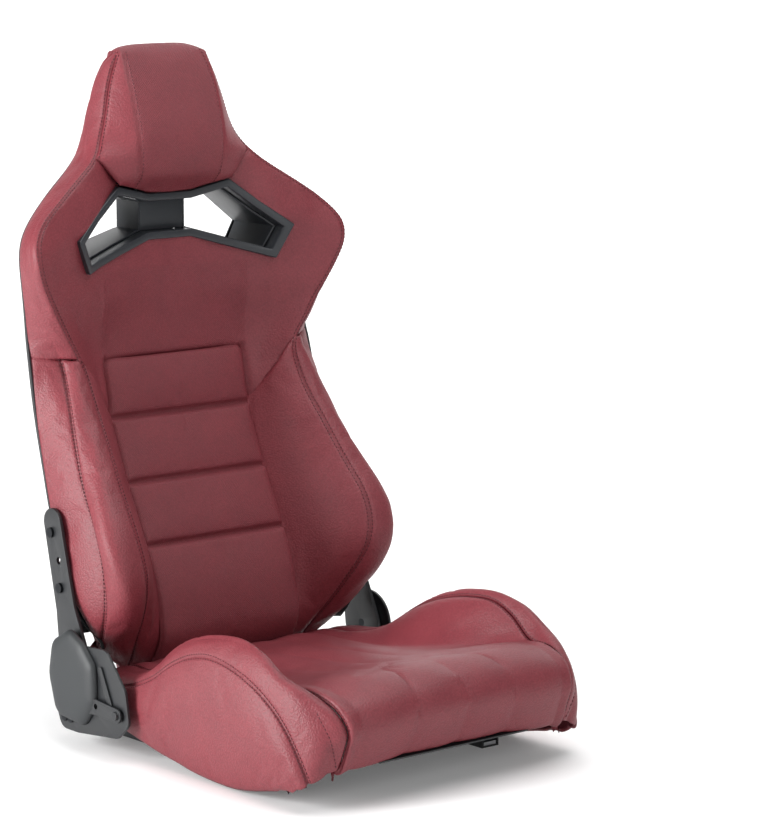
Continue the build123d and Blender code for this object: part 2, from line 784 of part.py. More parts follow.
# ---- return spring: a flat spiral round the inboard pin, between arm and bracket ----
spiral_turns = 3
spiral_steps = 20
spiral_r0 = pin_r + 0.3
spiral_r1 = hinge_r - 6.0
spiral_band = 1.6
spiral_x0 = arm_out + 1.5
spiral_x1 = bracket_in - 1.5
rim_in = []
rim_out = []
for i in range(spiral_turns * spiral_steps + 1):
    part = i / (spiral_turns * spiral_steps)
    at = spiral_r0 + part * (spiral_r1 - spiral_r0)
    angle = i * 360 / spiral_steps
    rim_in.append(polar(at, angle))
    rim_out.append(polar(at + spiral_band, angle))
save("return_spring", from_side(outline(rim_in + rim_out[::-1]), spiral_x0, spiral_x1))

# ---- upholstery of the backrest ----
bezel_points = [(x, level(at)) for x, at in bezel_outline]


def bezel_y(x):
    return look_up(bezel_front, abs(x))


def strip(line, low, high, step):
    """Side profile between two shares: the line, then the same line moved back by step."""
    inner = [at for at in (row[0] for row in line) if low < at < high]
    front = [(look_up(line, at), level(at)) for at in [low, *inner, high]]
    return front + [(y + step, z) for y, z in reversed(front)]


insert = from_side(outline(strip(front_line, 0.022, insert_top, pad_depth)), -insert_half, insert_half)
save("back_insert", insert)

bolster_shares = (0.03, 0.092, 0.175, 0.243, 0.304, 0.366, 0.428, insert_top)
sections = []
for at in bolster_shares:
    inner_x = insert_half + soft_gap
    front_y = look_up(front_line, at)
    corner_x, corner_y = edge(corner_line, at)
    points = [
        (inner_x, front_y + 2.0),
        edge(crest_line, at),
        edge(flank_line, at),
        (corner_x - 1.0, corner_y - return_depth - return_gap),
        (inner_x, front_y + pad_depth),
    ]
    sections.append([(x, y, level(at)) for x, y in points])
save_pair("back_bolster", skin(sections))

pad_half = bezel_outline[3][0] - 3.0
tip_z = bezel_points[3][1]
kink_z = bezel_points[4][1]
low_z = level(insert_top) + soft_gap
pad_outline = (
    (-pad_half, low_z),
    (pad_half, low_z),
    (pad_half, tip_z - soft_gap),
    (bezel_kink_x, kink_z - soft_gap),
    (-bezel_kink_x, kink_z - soft_gap),
    (-pad_half, tip_z - soft_gap),
)
upper_profile = outline(strip(front_line, insert_top, 0.70, pad_depth))
upper_pad = from_side(upper_profile, -pad_half, pad_half) & from_front(outline(pad_outline), 250, 500)
save("upper_back_pad", upper_pad)

# The shoulder runs on up the side of the head; its inner edge follows the bezel.
apex_share = bezel_outline[1][1]
head_inner = head_half + soft_gap
shoulder_inner = (
    (insert_top + 0.003, pad_half + soft_gap),
    (0.587, pad_half + soft_gap),
    (bezel_outline[3][1], bezel_outline[3][0] + soft_gap),
    (bezel_outline[2][1], bezel_outline[2][0] + soft_gap),
    (apex_share, bezel_outline[1][0] + soft_gap),
    (0.80, head_inner),
    (0.955, head_inner),
)
shoulder_shares = (insert_top + 0.003, 0.534, 0.587, bezel_outline[3][1], 0.661, bezel_outline[2][1])
shoulder_shares += (0.723, apex_share, 0.80, 0.82, 0.868, 0.898, 0.923, 0.955)
sections = []
for at in shoulder_shares:
    inner_x = look_up(shoulder_inner, at)
    corner_x, corner_y = edge(corner_line, at)
    crest_x, crest_y = edge(crest_line, at)
    flank_x, flank_y = edge(flank_line, at)
    if at < 0.6:
        front_y = look_up(front_line, at)
    elif at < head_bottom:
        front_y = bezel_y(inner_x) + 4.0
    else:
        front_y = look_up(front_line, at) + 6.0
    if at < apex_share:
        rear_y = max(front_y + pad_depth, corner_y)
        wrap = return_depth
    else:
        rear_y = look_up(rear_line, at) - shell_wall - head_clearance
        wrap = head_return
    points = [
        (inner_x, front_y),
        (max(crest_x, inner_x + 4.0), crest_y),
        (max(flank_x, inner_x + 6.0), flank_y),
        (max(corner_x - 1.0, inner_x + 4.0), corner_y - wrap - return_gap),
        (inner_x, rear_y),
    ]
    sections.append([(x, y, level(at)) for x, y in points])
shoulder = skin(sections) - head_bars[1] - side_bar
shoulder = shoulder.solids().sort_by(SortBy.VOLUME)[-1]
save_pair("back_shoulder", shoulder)

head_rear_shares = (0.99, 0.967, 0.898, 0.82, head_bottom)
head_rear_step = shell_wall + head_clearance
head_rear = [(look_up(rear_line, at) - head_rear_step, level(at)) for at in head_rear_shares]
head_front = [(look_up(front_line, at), level(at)) for at in (head_bottom, 0.82, 0.898, 0.959, 0.99)]
head_crown = [((head_front[-1][0] + head_rear[0][0]) / 2, level(1.0))]
headrest = from_side(outline(head_front + head_crown + head_rear), -head_half, head_half)
for bar in head_bars:
    headrest -= bar
save("headrest_pad", headrest)

# ---- back panel: a thin shell that wraps round the flanks ----
shell_shares = bolster_shares + shoulder_shares[1:] + (0.967, 0.99)
sections = []
for at in shell_shares:
    corner_x, corner_y = edge(corner_line, at)
    middle_y = look_up(rear_line, at)
    turn = panel_turn if at <= apex_share else head_turn
    reach = return_depth if at < apex_share else head_return
    outer = [
        (corner_x, corner_y - reach),
        (corner_x, corner_y),
        (corner_x - turn, middle_y),
    ]
    inner = [
        (corner_x - turn - 1.5, middle_y - shell_wall),
        (corner_x - shell_wall, corner_y - 0.5),
        (corner_x - shell_wall, corner_y - reach),
    ]
    half = outer + inner
    mirrored = [(-x, y) for x, y in reversed(half)]
    ring_points = outer + [(-x, y) for x, y in reversed(outer)]
    ring_points += [(-x, y) for x, y in reversed(inner)] + inner
    sections.append([(x, y, level(at)) for x, y in ring_points])
shell = skin(sections)

# ---- harness bezel ----
full_outline = bezel_points + [(-x, z) for x, z in reversed(bezel_points)]
bezel_face = outline(full_outline)
inner_face = offset(bezel_face, -bezel_border, kind=Kind.INTERSECTION)
front_band = [(x, y) for x, y in bezel_front]
front_band = [(-x, y) for x, y in reversed(front_band[1:])] + front_band
band_end = bezel_front[-1][0] + 10.0
front_band = [(-band_end, front_band[0][1])] + front_band + [(band_end, front_band[-1][1])]
back_band = [(x, y + bezel_depth) for x, y in reversed(front_band)]
bezel_zs = (level(0.60), level(0.80))
bezel_band = from_top(outline(front_band + back_band), *bezel_zs)
bezel_ring = from_front(bezel_face - inner_face, 250, 450) & bezel_band
save("bezel_front", bezel_ring)

# Each window is lined from the front ring through to the back panel.
half_mask = outline(
    (
        (bridge_half, bezel_zs[0]),
        (bezel_outline[2][0], bezel_zs[0]),
        (bezel_outline[2][0], bezel_zs[1]),
        (bridge_half, bezel_zs[1]),
    )
)
window = inner_face & half_mask
window_hole = offset(window, -liner_wall, kind=Kind.INTERSECTION)
liner_end = look_up(rear_line, 0.70) - 6.0
liner = from_front(window - window_hole, 250, liner_end)
liner_front = [(x, y - 200) for x, y in reversed(front_band)]
liner -= from_top(outline([(x, y + bezel_depth) for x, y in front_band] + liner_front), *bezel_zs)
save_pair("bezel_liner", liner)

bridge_y = bezel_y(0) + bezel_depth
bridge_slot = outline(
    (
        (-bridge_half + 0.2, bezel_zs[0]),
        (bridge_half - 0.2, bezel_zs[0]),
        (bridge_half - 0.2, bezel_zs[1]),
        (-bridge_half + 0.2, bezel_zs[1]),
    )
)
bridge = from_front(inner_face & bridge_slot, bridge_y, bridge_y + bridge_plate)
save("bezel_bridge", bridge)

panel_cut = offset(bezel_face, -5.0, kind=Kind.INTERSECTION)
shell -= from_front(panel_cut, 300, 500)
for at in arm_bolt_shares:
    for ends in ((side_tube_x, arm_in), (-arm_in, -side_tube_x)):
        shell -= rod(*ends, tube_y(at), level(at), spacer_r + 0.5)
save("back_panel", shell)

rear_band = strip(rear_line, 0.587, 0.82, 3.0)
rear_ring = from_front(offset(bezel_face, 4.0, kind=Kind.INTERSECTION) - inner_face, 380, 460)
rear_ring &= Pos(0, 0.3, 0) * from_side(outline(rear_band), -300, 300)
save("bezel_rear", rear_ring)

# ---- seat cushion ----
cushion_line = [(y, rail_height + z) for y, z in cushion_line]
nose_line = [(y, rail_height + z) for y, z in nose_line]
cushion_outline = cushion_line + [(nose_back, cushion_floor + 23.0), (pan_bend_y, cushion_floor)]
cushion_outline += [(cushion_line[0][0], cushion_floor)]
cushion = from_side(outline(cushion_outline), -cushion_half, cushion_half)
save("base_cushion", cushion)

nose_outline = [(nose_back - soft_gap, cushion_line[-1][1])] + nose_line
nose_outline += [(nose_back - soft_gap, nose_line[-1][1] - 6.0)]
save("base_nose", from_side(outline(nose_outline), -cushion_half, cushion_half))

cushion_top = [(-y, z) for y, z in cushion_line + nose_line[:3]]
lip_slope = pan_lip[1] / (pan_bend_y - pan_lip[0])
sections = []
for y, *heights, turned in bolster_line:
    seam_z, crest_z, under_z = (rail_height + height for height in heights)
    foot_z = look_up(cushion_top, -y)
    inner_x = cushion_half + soft_gap
    floor_z = cushion_floor + min(max(0.0, pan_bend_y - y) * lip_slope, pan_lip[1])
    flank_x = half_width - turned
    points = [
        (inner_x, floor_z),
        (pan_half + 2.0, floor_z),
        (pan_half + 6.0, min(under_z, floor_z)),
        (max(flank_x - 4.0, pan_half + 8.0), under_z),
        (max(flank_x, pan_half + 9.0), (under_z + seam_z) / 2),
        (max(flank_x, pan_half + 8.0), seam_z),
        (flank_x - crest_inset, crest_z),
        (half_width - foot_inset, foot_z + bolster_rise),
        (inner_x, foot_z),
    ]
    sections.append([(x, y, z) for x, z in points])
save_pair("base_bolster", skin(sections))

flap_back = pan_lip[0] + 2.0
flap_z = nose_line[-1][1] - 10.0
flap = block(-cushion_half, cushion_half, nose_line[-1][0], flap_back - soft_gap, flap_z - 2.0, flap_z)
save("base_underflap", flap)
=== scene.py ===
import bpy
import bmesh
import json
import math
import numpy as np
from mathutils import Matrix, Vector


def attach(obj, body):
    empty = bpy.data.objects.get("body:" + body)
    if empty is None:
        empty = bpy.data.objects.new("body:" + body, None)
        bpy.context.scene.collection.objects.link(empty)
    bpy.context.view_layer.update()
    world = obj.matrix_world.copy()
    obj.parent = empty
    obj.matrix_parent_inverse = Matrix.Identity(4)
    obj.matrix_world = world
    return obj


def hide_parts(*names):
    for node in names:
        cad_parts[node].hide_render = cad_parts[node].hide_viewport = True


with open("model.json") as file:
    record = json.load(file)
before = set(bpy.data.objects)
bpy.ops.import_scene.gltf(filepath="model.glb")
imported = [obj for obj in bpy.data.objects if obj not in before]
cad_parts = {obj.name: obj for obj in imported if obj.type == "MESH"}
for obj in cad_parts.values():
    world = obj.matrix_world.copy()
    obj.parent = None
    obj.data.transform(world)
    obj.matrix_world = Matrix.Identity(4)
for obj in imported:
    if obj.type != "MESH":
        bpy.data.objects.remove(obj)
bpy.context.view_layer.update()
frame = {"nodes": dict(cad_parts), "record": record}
nodes = frame["nodes"]
mm = 0.001
print("frame loaded")


# small tools for curves, grids and nodes
def srgb(code):
    parts = [int(code[i:i + 2], 16) / 255 for i in (1, 3, 5)]
    return tuple(p / 12.92 if p <= 0.04045 else ((p + 0.055) / 1.055) ** 2.4 for p in parts) + (1.0,)


def spline(knots, values, at):
    # smooth curve through the rows of values, one row per knot
    knots, values, at = np.asarray(knots, float), np.asarray(values, float), np.asarray(at, float)
    if values.ndim == 1:
        values = values[:, None]
    step = np.diff(knots)[:, None]
    slope = np.diff(values, axis=0) / step
    inner = (slope[:-1] * step[1:] + slope[1:] * step[:-1]) / (step[:-1] + step[1:])
    tangent = np.vstack([slope[:1], inner, slope[-1:]])
    i = np.clip(np.searchsorted(knots, at) - 1, 0, len(knots) - 2)
    h = step[i]
    t = ((at - knots[i])[..., None]) / h
    t = np.clip(t, 0, 1)
    a, b = values[i], values[i + 1]
    return ((2 * t**3 - 3 * t**2 + 1) * a + (t**3 - 2 * t**2 + t) * h * tangent[i]
            + (-2 * t**3 + 3 * t**2) * b + (t**3 - t**2) * h * tangent[i + 1])


def guide(rows):
    rows = sorted(rows)
    return [r[0] for r in rows], [r[1:] for r in rows]


def onGuide(line, z, spread=14.0):
    # a smoothed reading of the line, so that small kinks don't show as lumps
    z = np.asarray(z, float)
    total = 0
    for step, weight in zip((-2, -1, 0, 1, 2), (1, 4, 6, 4, 1)):
        at = np.clip(z + step * spread / 2, line[0][0], line[0][-1])
        total = total + weight / 16 * spline(line[0], line[1], at)
    return total


def at3(line, z):
    return np.column_stack([onGuide(line, z), z])


def smoothStep(low, high, x):
    t = np.clip((np.asarray(x, float) - low) / (high - low), 0, 1)
    return t * t * (3 - 2 * t)


def stations(length, fine=1.6, coarse=4.0, growth=1.22):
    # 0 to 1 along a strip of that many millimetres, finer towards the seams at both ends
    steps, step = [], fine
    while sum(steps) + step < length / 2:
        steps.append(step)
        step = min(step * growth, coarse)
    steps.append(max(length / 2 - sum(steps), fine / 2))
    steps = steps + steps[::-1]
    return np.concatenate([[0], np.cumsum(steps)]) / sum(steps)


def normalsOf(points):
    n = np.cross(np.gradient(points, axis=1), np.gradient(points, axis=0))
    return n / np.maximum(np.linalg.norm(n, axis=2, keepdims=True), 1e-12)


def arcAlong(points, axis):
    total = np.cumsum(np.linalg.norm(np.diff(points, axis=axis), axis=2), axis=axis)
    pad = [(0, 0), (0, 0)]
    pad[axis] = (1, 0)
    return np.pad(total, pad)


def densify(path, step=0.0015):
    path = np.asarray(path, float)
    along = np.concatenate([[0], np.cumsum(np.linalg.norm(np.diff(path, axis=0), axis=1))])
    at = np.linspace(0, along[-1], max(2, int(along[-1] / step)))
    return np.column_stack([np.interp(at, along, path[:, k]) for k in range(3)])


def awayFrom(points, path):
    path = densify(path, 0.002)
    flat = points.reshape(-1, 3)
    best = np.full(len(flat), 1e9)
    for start in range(0, len(path), 40):
        part = path[start:start + 40]
        best = np.minimum(best, np.linalg.norm(flat[:, None] - part[None], axis=2).min(axis=1))
    return best.reshape(points.shape[:2])


def press(points, paths):
    # sinks a groove along each path: (points of the path, depth, width) in metres
    n = normalsOf(points)
    sink = np.zeros(points.shape[:2])
    for path, depth, width in paths:
        away = awayFrom(points, path)
        sink = np.maximum(sink, depth * np.exp(-(away / width) ** 2))
    return points - n * sink[..., None]


def rim(points, depth, width, sides="lrbt"):
    paths = {"l": points[:, 0], "r": points[:, -1], "b": points[0], "t": points[-1]}
    return [(paths[s], depth, width) for s in sides]


def relax(points, rounds):
    for _ in range(rounds):
        mean = points.copy()
        mean[1:-1, 1:-1] = (points[:-2, 1:-1] + points[2:, 1:-1]
                            + points[1:-1, :-2] + points[1:-1, 2:]) / 4
        points = (points + mean) / 2
    return points


def onSurface(points, path, lift=0.0003):
    # the nearest points of the grid to a path, a little above it
    flat, n = points.reshape(-1, 3), normalsOf(points).reshape(-1, 3)
    out = []
    for p in densify(path, 0.004):
        near = np.argsort(np.sum((flat - p) ** 2, axis=1))[:6]
        gap = np.sum((flat[near] - p) ** 2, axis=1)
        weight = 1 / (gap + 1e-8)
        weight /= weight.sum()
        q = (flat[near] * weight[:, None]).sum(axis=0)
        m = (n[near] * weight[:, None]).sum(axis=0)
        m /= np.linalg.norm(m)
        out.append(p - m * np.dot(p - q, m) + m * lift)
    return np.array(out)


def beside(points, index, distance):
    # line beside column index, that far along the surface
    s = arcAlong(points, 1)
    out = []
    for row, along in zip(points, s):
        out.append([np.interp(along[index] + distance, along, row[:, k]) for k in range(3)])
    return np.array(out)


seams = {"backrest": [], "base": []}


def stitchBeside(points, sign, index, distances, body, rows=slice(None)):
    for distance in distances:
        line = beside(points, index, distance)[rows]
        path = onSurface(points, line)
        path[:, 0] *= sign
        seams[body].append(path)


def stitchEdge(points, side, distance, body, rows=slice(None)):
    # a row inside the grid's last column for side 1, its first for side -1
    stitchBeside(points, 1, -1 if side > 0 else 0, (-side * distance,), body, rows)


def stitchOn(points, sign, path, body):
    line = onSurface(points, path)
    line[:, 0] *= sign
    seams[body].append(line)


def addNode(tree, kind, settings=None, inputs=None):
    made = tree.nodes.new(kind)
    for key, value in (settings or {}).items():
        setattr(made, key, value)
    for key, value in (inputs or {}).items():
        socket = made.inputs[key]
        if isinstance(value, bpy.types.NodeSocket):
            tree.links.new(value, socket)
        else:
            socket.default_value = value
    return made


def newMaterial(name):
    made = bpy.data.materials.new(name)
    made.use_nodes = True
    made.node_tree.nodes.clear()
    return made, made.node_tree


def finishMaterial(tree, shader):
    out = addNode(tree, "ShaderNodeOutputMaterial")
    tree.links.new(shader.outputs[0], out.inputs["Surface"])


def gridFaces(rows, columns, flip=False):
    faces = []
    for r in range(rows - 1):
        for c in range(columns - 1):
            a = r * columns + c
            face = (a, a + 1, a + 1 + columns, a + columns)
            faces.append(face[::-1] if flip else face)
    return faces


cloth = {"pressure": 4.0, "frames": 20, "mostMove": 0.003, "held": 0.009}


def fillOut(made, points, held, most):
    # the foam pushes the cover out between its seams; the seams themselves are held
    weight = np.clip(1.15 - held / cloth["held"], 0, 1).ravel()
    used = {v for face in made.data.polygons for v in face.vertices}
    group = made.vertex_groups.new(name="sewn")
    for i in used:
        if weight[i] > 0.02:
            group.add([i], float(weight[i]), "REPLACE")
    work = made.modifiers.new("cloth", "CLOTH")
    settings = work.settings
    settings.quality = 4
    settings.mass = 0.3
    settings.tension_stiffness = 30
    settings.compression_stiffness = 30
    settings.shear_stiffness = 15
    settings.bending_stiffness = 6.0
    settings.use_pressure = True
    settings.uniform_pressure_force = cloth["pressure"]
    settings.effector_weights.gravity = 0
    settings.vertex_group_mass = "sewn"
    settings.shrink_min = -0.003
    work.point_cache.frame_start = 1
    work.point_cache.frame_end = cloth["frames"]
    scene = bpy.context.scene
    for frameNumber in range(1, cloth["frames"] + 1):
        scene.frame_set(frameNumber)
    shape = made.evaluated_get(bpy.context.evaluated_depsgraph_get()).data
    moved = np.zeros(len(shape.vertices) * 3)
    shape.vertices.foreach_get("co", moved)
    start = points.reshape(-1, 3)
    step = moved.reshape(-1, 3) - start
    size = np.linalg.norm(step, axis=1, keepdims=True)
    step = step * most / (most + size)
    made.modifiers.remove(work)
    made.vertex_groups.remove(group)
    made.data.vertices.foreach_set("co", (start + step).ravel())
    scene.frame_set(1)


def sheetPiece(name, points, thickness, material, body, replaces=(), flip=False, skip=None, fill=None,
               held=None, most=None, second=None):
    # one closed panel: a grid with its own UV in metres, filled out, then given a thickness inwards
    rows, columns = points.shape[:2]
    faces = gridFaces(rows, columns, flip)
    if skip is not None:
        quadSkip = skip[:-1, :-1] | skip[1:, :-1] | skip[:-1, 1:] | skip[1:, 1:]
        faces = [f for f, out in zip(faces, quadSkip.ravel()) if not out]
    mesh = bpy.data.meshes.new(name)
    mesh.from_pydata(points.reshape(-1, 3).tolist(), [], faces)
    uv = mesh.uv_layers.new(name="metres")
    along, up = arcAlong(points, 1), arcAlong(points, 0)
    across = (along - along[:, columns // 2][:, None]).ravel()
    lengthwise = np.repeat(up.mean(axis=1), columns)
    index = np.zeros(len(mesh.loops), int)
    mesh.loops.foreach_get("vertex_index", index)
    uv.data.foreach_set("uv", np.stack([across[index], lengthwise[index]], 1).astype(np.float32).ravel())
    made = bpy.data.objects.new(name, mesh)
    bpy.context.scene.collection.objects.link(made)
    made.data.materials.append(material)
    if second is not None:
        made.data.materials.append(second[0])
        chosen = second[1].ravel()
        for face in made.data.polygons:
            face.material_index = int(chosen[list(face.vertices)].mean() > 0.5)
    if fill is not None:
        if held is None:
            held = np.full(points.shape[:2], 1e9)
        edges = np.stack([along, along[:, -1:] - along, up, up[-1:] - up]).min(axis=0)
        fillOut(made, points, np.minimum(held, edges), most or cloth["mostMove"])
    shrinkToUsed(made)
    solid = made.modifiers.new("thickness", "SOLIDIFY")
    solid.thickness = thickness
    solid.offset = -1
    for face in made.data.polygons:
        face.use_smooth = True
    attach(made, body)
    if replaces:
        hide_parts(*replaces)
    return made


def shrinkToUsed(made):
    work = bmesh.new()
    work.from_mesh(made.data)
    bmesh.ops.delete(work, geom=[v for v in work.verts if not v.link_faces], context="VERTS")
    work.to_mesh(made.data)
    work.free()


def bevelledCopy(name, node, body, material, width, angle=28):
    # a carried-over shape with broken edges, as a moulding or a pressing has
    mesh = nodes[node].data.copy()
    mesh.name = name
    work = bmesh.new()
    work.from_mesh(mesh)
    bmesh.ops.remove_doubles(work, verts=work.verts, dist=0.00001)
    bmesh.ops.dissolve_limit(work, angle_limit=math.radians(1.5), verts=work.verts, edges=work.edges)
    edges = [e for e in work.edges
             if len(e.link_faces) == 2 and e.calc_face_angle(0) > math.radians(angle)]
    bmesh.ops.bevel(work, geom=edges, offset=width, segments=3, profile=0.5, affect="EDGES",
                    clamp_overlap=True)
    bmesh.ops.triangulate(work, faces=[f for f in work.faces if len(f.verts) > 4])
    work.to_mesh(mesh)
    work.free()
    mesh.materials.clear()
    mesh.materials.append(material)
    for face in mesh.polygons:
        face.use_smooth = True
    mesh.set_sharp_from_angle(angle=math.radians(32))
    made = bpy.data.objects.new(name, mesh)
    bpy.context.scene.collection.objects.link(made)
    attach(made, body)
    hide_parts(node)
    return made


def bothSides(build):
    for name, sign in (("inboard", 1), ("outboard", -1)):
        build(name, sign)


def mirrored(points, sign):
    return points * np.array([sign, 1, 1])


# camera first: the seat from its front left, a little above the cushion
camera = bpy.data.cameras.new("camera")
camera.lens = 144
camera.sensor_width = 36
camera.clip_end = 50
cameraObject = bpy.data.objects.new("camera", camera)
cameraObject.location = (-2.7856, -3.4713, 1.1929)
cameraObject.rotation_euler = (math.radians(80.72), 0, math.radians(-40))
bpy.context.scene.collection.objects.link(cameraObject)
bpy.context.scene.camera = cameraObject

# materials
leatherette = {"colour": "#86353D", "deep": "#742B34", "grain": 2.5, "grainDepth": 0.0006, "roughness": 0.52}


def leatherMaterial(name, sizes, weave=0.0):
    # polyurethane-coated cloth: satin, pebble grain pressed in; the middle panels have a fine woven emboss
    made, tree = newMaterial(name)
    place = addNode(tree, "ShaderNodeTexCoord")
    cells = addNode(tree, "ShaderNodeTexVoronoi", {"feature": "SMOOTH_F1"},
                    {"Vector": place.outputs["Object"], "Scale": 1000 / sizes["grain"], "Smoothness": 0.6})
    cloud = addNode(tree, "ShaderNodeTexNoise", None,
                    {"Vector": place.outputs["Object"], "Scale": 26.0, "Detail": 4.0})
    fine = addNode(tree, "ShaderNodeTexNoise", None,
                   {"Vector": place.outputs["Object"], "Scale": 900.0, "Detail": 2.0})
    tone = addNode(tree, "ShaderNodeMix", {"data_type": "RGBA"},
                   {0: cloud.outputs["Fac"], 6: srgb(sizes["deep"]), 7: srgb(sizes["colour"])})
    # painted shade: the colour is darkened towards the pebble grain's cell edges, the same hollows the bump
    # sinks
    paintedGrainShade = addNode(tree, "ShaderNodeMapRange", None,
                    {"Value": cells.outputs["Distance"], "From Min": 0.0, "From Max": 0.7,
                     "To Min": 1.06, "To Max": 0.8})
    tint = addNode(tree, "ShaderNodeMix", {"data_type": "RGBA", "blend_type": "MULTIPLY"},
                   {0: 1.0, 6: tone.outputs[2], 7: paintedGrainShade.outputs["Result"]})
    height = addNode(tree, "ShaderNodeMath", {"operation": "MULTIPLY"},
                     {0: cells.outputs["Distance"], 1: -0.8})
    rough = addNode(tree, "ShaderNodeMath", {"operation": "MULTIPLY_ADD"},
                    {0: fine.outputs["Fac"], 1: 0.2, 2: height.outputs[0]})
    last = rough
    if weave:
        # a basket weave at weave millimetres, from the panel's own UV
        spread = addNode(tree, "ShaderNodeVectorMath", {"operation": "SCALE"},
                         {0: place.outputs["UV"], "Scale": 2 * math.pi * 1000 / weave})
        parts = addNode(tree, "ShaderNodeSeparateXYZ", None, {0: spread.outputs[0]})
        waveU = addNode(tree, "ShaderNodeMath", {"operation": "SINE"}, {0: parts.outputs[0]})
        waveV = addNode(tree, "ShaderNodeMath", {"operation": "SINE"}, {0: parts.outputs[1]})
        both = addNode(tree, "ShaderNodeMath", {"operation": "MULTIPLY"},
                       {0: waveU.outputs[0], 1: waveV.outputs[0]})
        last = addNode(tree, "ShaderNodeMath", {"operation": "MULTIPLY_ADD"},
                       {0: both.outputs[0], 1: 0.55, 2: rough.outputs[0]})
        # painted shade and painted highlight: the colour is darkened in the weave's hollows and lightened on
        # its raised points, in step with its bump
        weaveReliefShade = addNode(tree, "ShaderNodeMapRange", None,
                       {"Value": both.outputs[0], "From Min": -1.0, "From Max": 1.0,
                        "To Min": 0.86, "To Max": 1.14})
        tint = addNode(tree, "ShaderNodeMix", {"data_type": "RGBA", "blend_type": "MULTIPLY"},
                       {0: 1.0, 6: tint.outputs[2], 7: weaveReliefShade.outputs["Result"]})
    bump = addNode(tree, "ShaderNodeBump", None,
                   {"Strength": 1.0, "Distance": sizes["grainDepth"], "Height": last.outputs[0]})
    gloss = addNode(tree, "ShaderNodeMapRange", None,
                    {"Value": cloud.outputs["Fac"], "To Min": sizes["roughness"] - 0.06,
                     "To Max": sizes["roughness"] + 0.06})
    shader = addNode(tree, "ShaderNodeBsdfPrincipled", None,
                     {"Base Color": tint.outputs[2], "Roughness": gloss.outputs["Result"],
                      "Normal": bump.outputs["Normal"], "IOR": 1.48})
    finishMaterial(tree, shader)
    return made


def moulded(name, colour, light, roughness, grain, depth, metallic=0.0):
    # injection-moulded or coated surface with a fine spark texture and a tone that drifts paler in soft random
    # patches
    made, tree = newMaterial(name)
    place = addNode(tree, "ShaderNodeTexCoord")
    fine = addNode(tree, "ShaderNodeTexNoise", None,
                   {"Vector": place.outputs["Object"], "Scale": 1000 / grain, "Detail": 3.0})
    cloud = addNode(tree, "ShaderNodeTexNoise", None,
                    {"Vector": place.outputs["Object"], "Scale": 18.0, "Detail": 5.0})
    tone = addNode(tree, "ShaderNodeMix", {"data_type": "RGBA"},
                   {0: cloud.outputs["Fac"], 6: srgb(colour), 7: srgb(light)})
    bump = addNode(tree, "ShaderNodeBump", None,
                   {"Strength": 1.0, "Distance": depth, "Height": fine.outputs["Fac"]})
    gloss = addNode(tree, "ShaderNodeMapRange", None,
                    {"Value": cloud.outputs["Fac"], "To Min": roughness - 0.07, "To Max": roughness + 0.07})
    shader = addNode(tree, "ShaderNodeBsdfPrincipled", None,
                     {"Base Color": tone.outputs[2], "Roughness": gloss.outputs["Result"],
                      "Normal": bump.outputs["Normal"], "Metallic": metallic})
    finishMaterial(tree, shader)
    return made


# covers: deep red, softly shining on the crowns, with a pebble grain or a fine weave at close range
grainLeather = leatherMaterial("pebbledLeatherette", leatherette)
weaveLeather = leatherMaterial("embossedLeatherette", leatherette, weave=3.2)
# thread: matt and darker than the covers, so that the rows read as seams
thread = moulded("polyesterThread", "#45151D", "#551C25", 0.7, 0.6, 0.0001)
# plastics: the bezel is the smoothest, the cover and the rear shell are duller and grained
bezelPlastic = moulded("satinAbs", "#24272B", "#2D3035", 0.38, 0.5, 0.00003)
coverPlastic = moulded("grainedPolypropylene", "#202325", "#292C2E", 0.55, 0.7, 0.00006)
shellPlastic = moulded("texturedShell", "#1B1C1E", "#232426", 0.6, 0.9, 0.0001)
# steels: near-black powder coat on the brackets, black fasteners, pale grey rails
powderSteel = moulded("powderCoatedSteel", "#16181A", "#1F2124", 0.42, 0.8, 0.00004)
blackZinc = moulded("blackPassivatedSteel", "#222427", "#2E3033", 0.38, 0.6, 0.00002, 1.0)
zincSteel = moulded("zincPlatedSteel", "#A9ABAE", "#C2C4C7", 0.32, 0.6, 0.00002, 1.0)
print("materials made")

finishBySlot = {"leatherette": grainLeather, "bezel_plastic": bezelPlastic, "cover_plastic": coverPlastic,
                "black_steel": powderSteel, "zinc_steel": zincSteel}
for part in frame["record"]["subparts"]:
    mesh = nodes[part["node"]].data
    mesh.materials.clear()
    mesh.materials.append(finishBySlot[part["material_slot"]])
for node in ("arm_bolts", "bracket_bolts", "lever_bolt", "pan_screws",
             "hinge_pin_inboard", "hinge_pin_outboard"):
    nodes[node].data.materials[0] = blackZinc

# lines of the backrest: z, then half width x and y, all in millimetres
edgeLine = guide([
    (100, 157, 230), (140, 170, 196), (175, 178, 168), (246, 197, 131), (305, 203, 147), (357, 197, 188),
    (410, 190, 227), (464, 184, 267), (523, 190, 291), (550, 207, 288), (578, 223, 287), (606, 241, 281),
    (635, 257, 276), (664, 267, 271), (692, 266, 277), (717, 247, 290), (738, 221, 298), (758, 192, 308),
    (778, 162, 319), (798, 136, 326), (820, 121, 338), (841, 112, 343), (862, 106, 345), (884, 100, 349),
    (906, 93, 352), (927, 84, 355), (945, 76, 356)])
sideLine = guide([
    (100, 212, 228), (140, 223, 208), (165, 231, 190), (186, 235, 179), (222, 237, 175), (256, 236, 181),
    (302, 235, 199), (354, 235, 225), (421, 229, 255), (475, 219, 283), (523, 212, 310), (555, 229, 306),
    (606, 251, 298), (635, 264, 291), (664, 273, 287), (692, 271, 290), (717, 252, 303), (738, 226, 313),
    (758, 196, 326), (778, 167, 338), (798, 142, 352), (820, 126, 366), (841, 117, 374), (884, 103, 380),
    (906, 96, 380), (927, 86, 376), (945, 76, 368)])
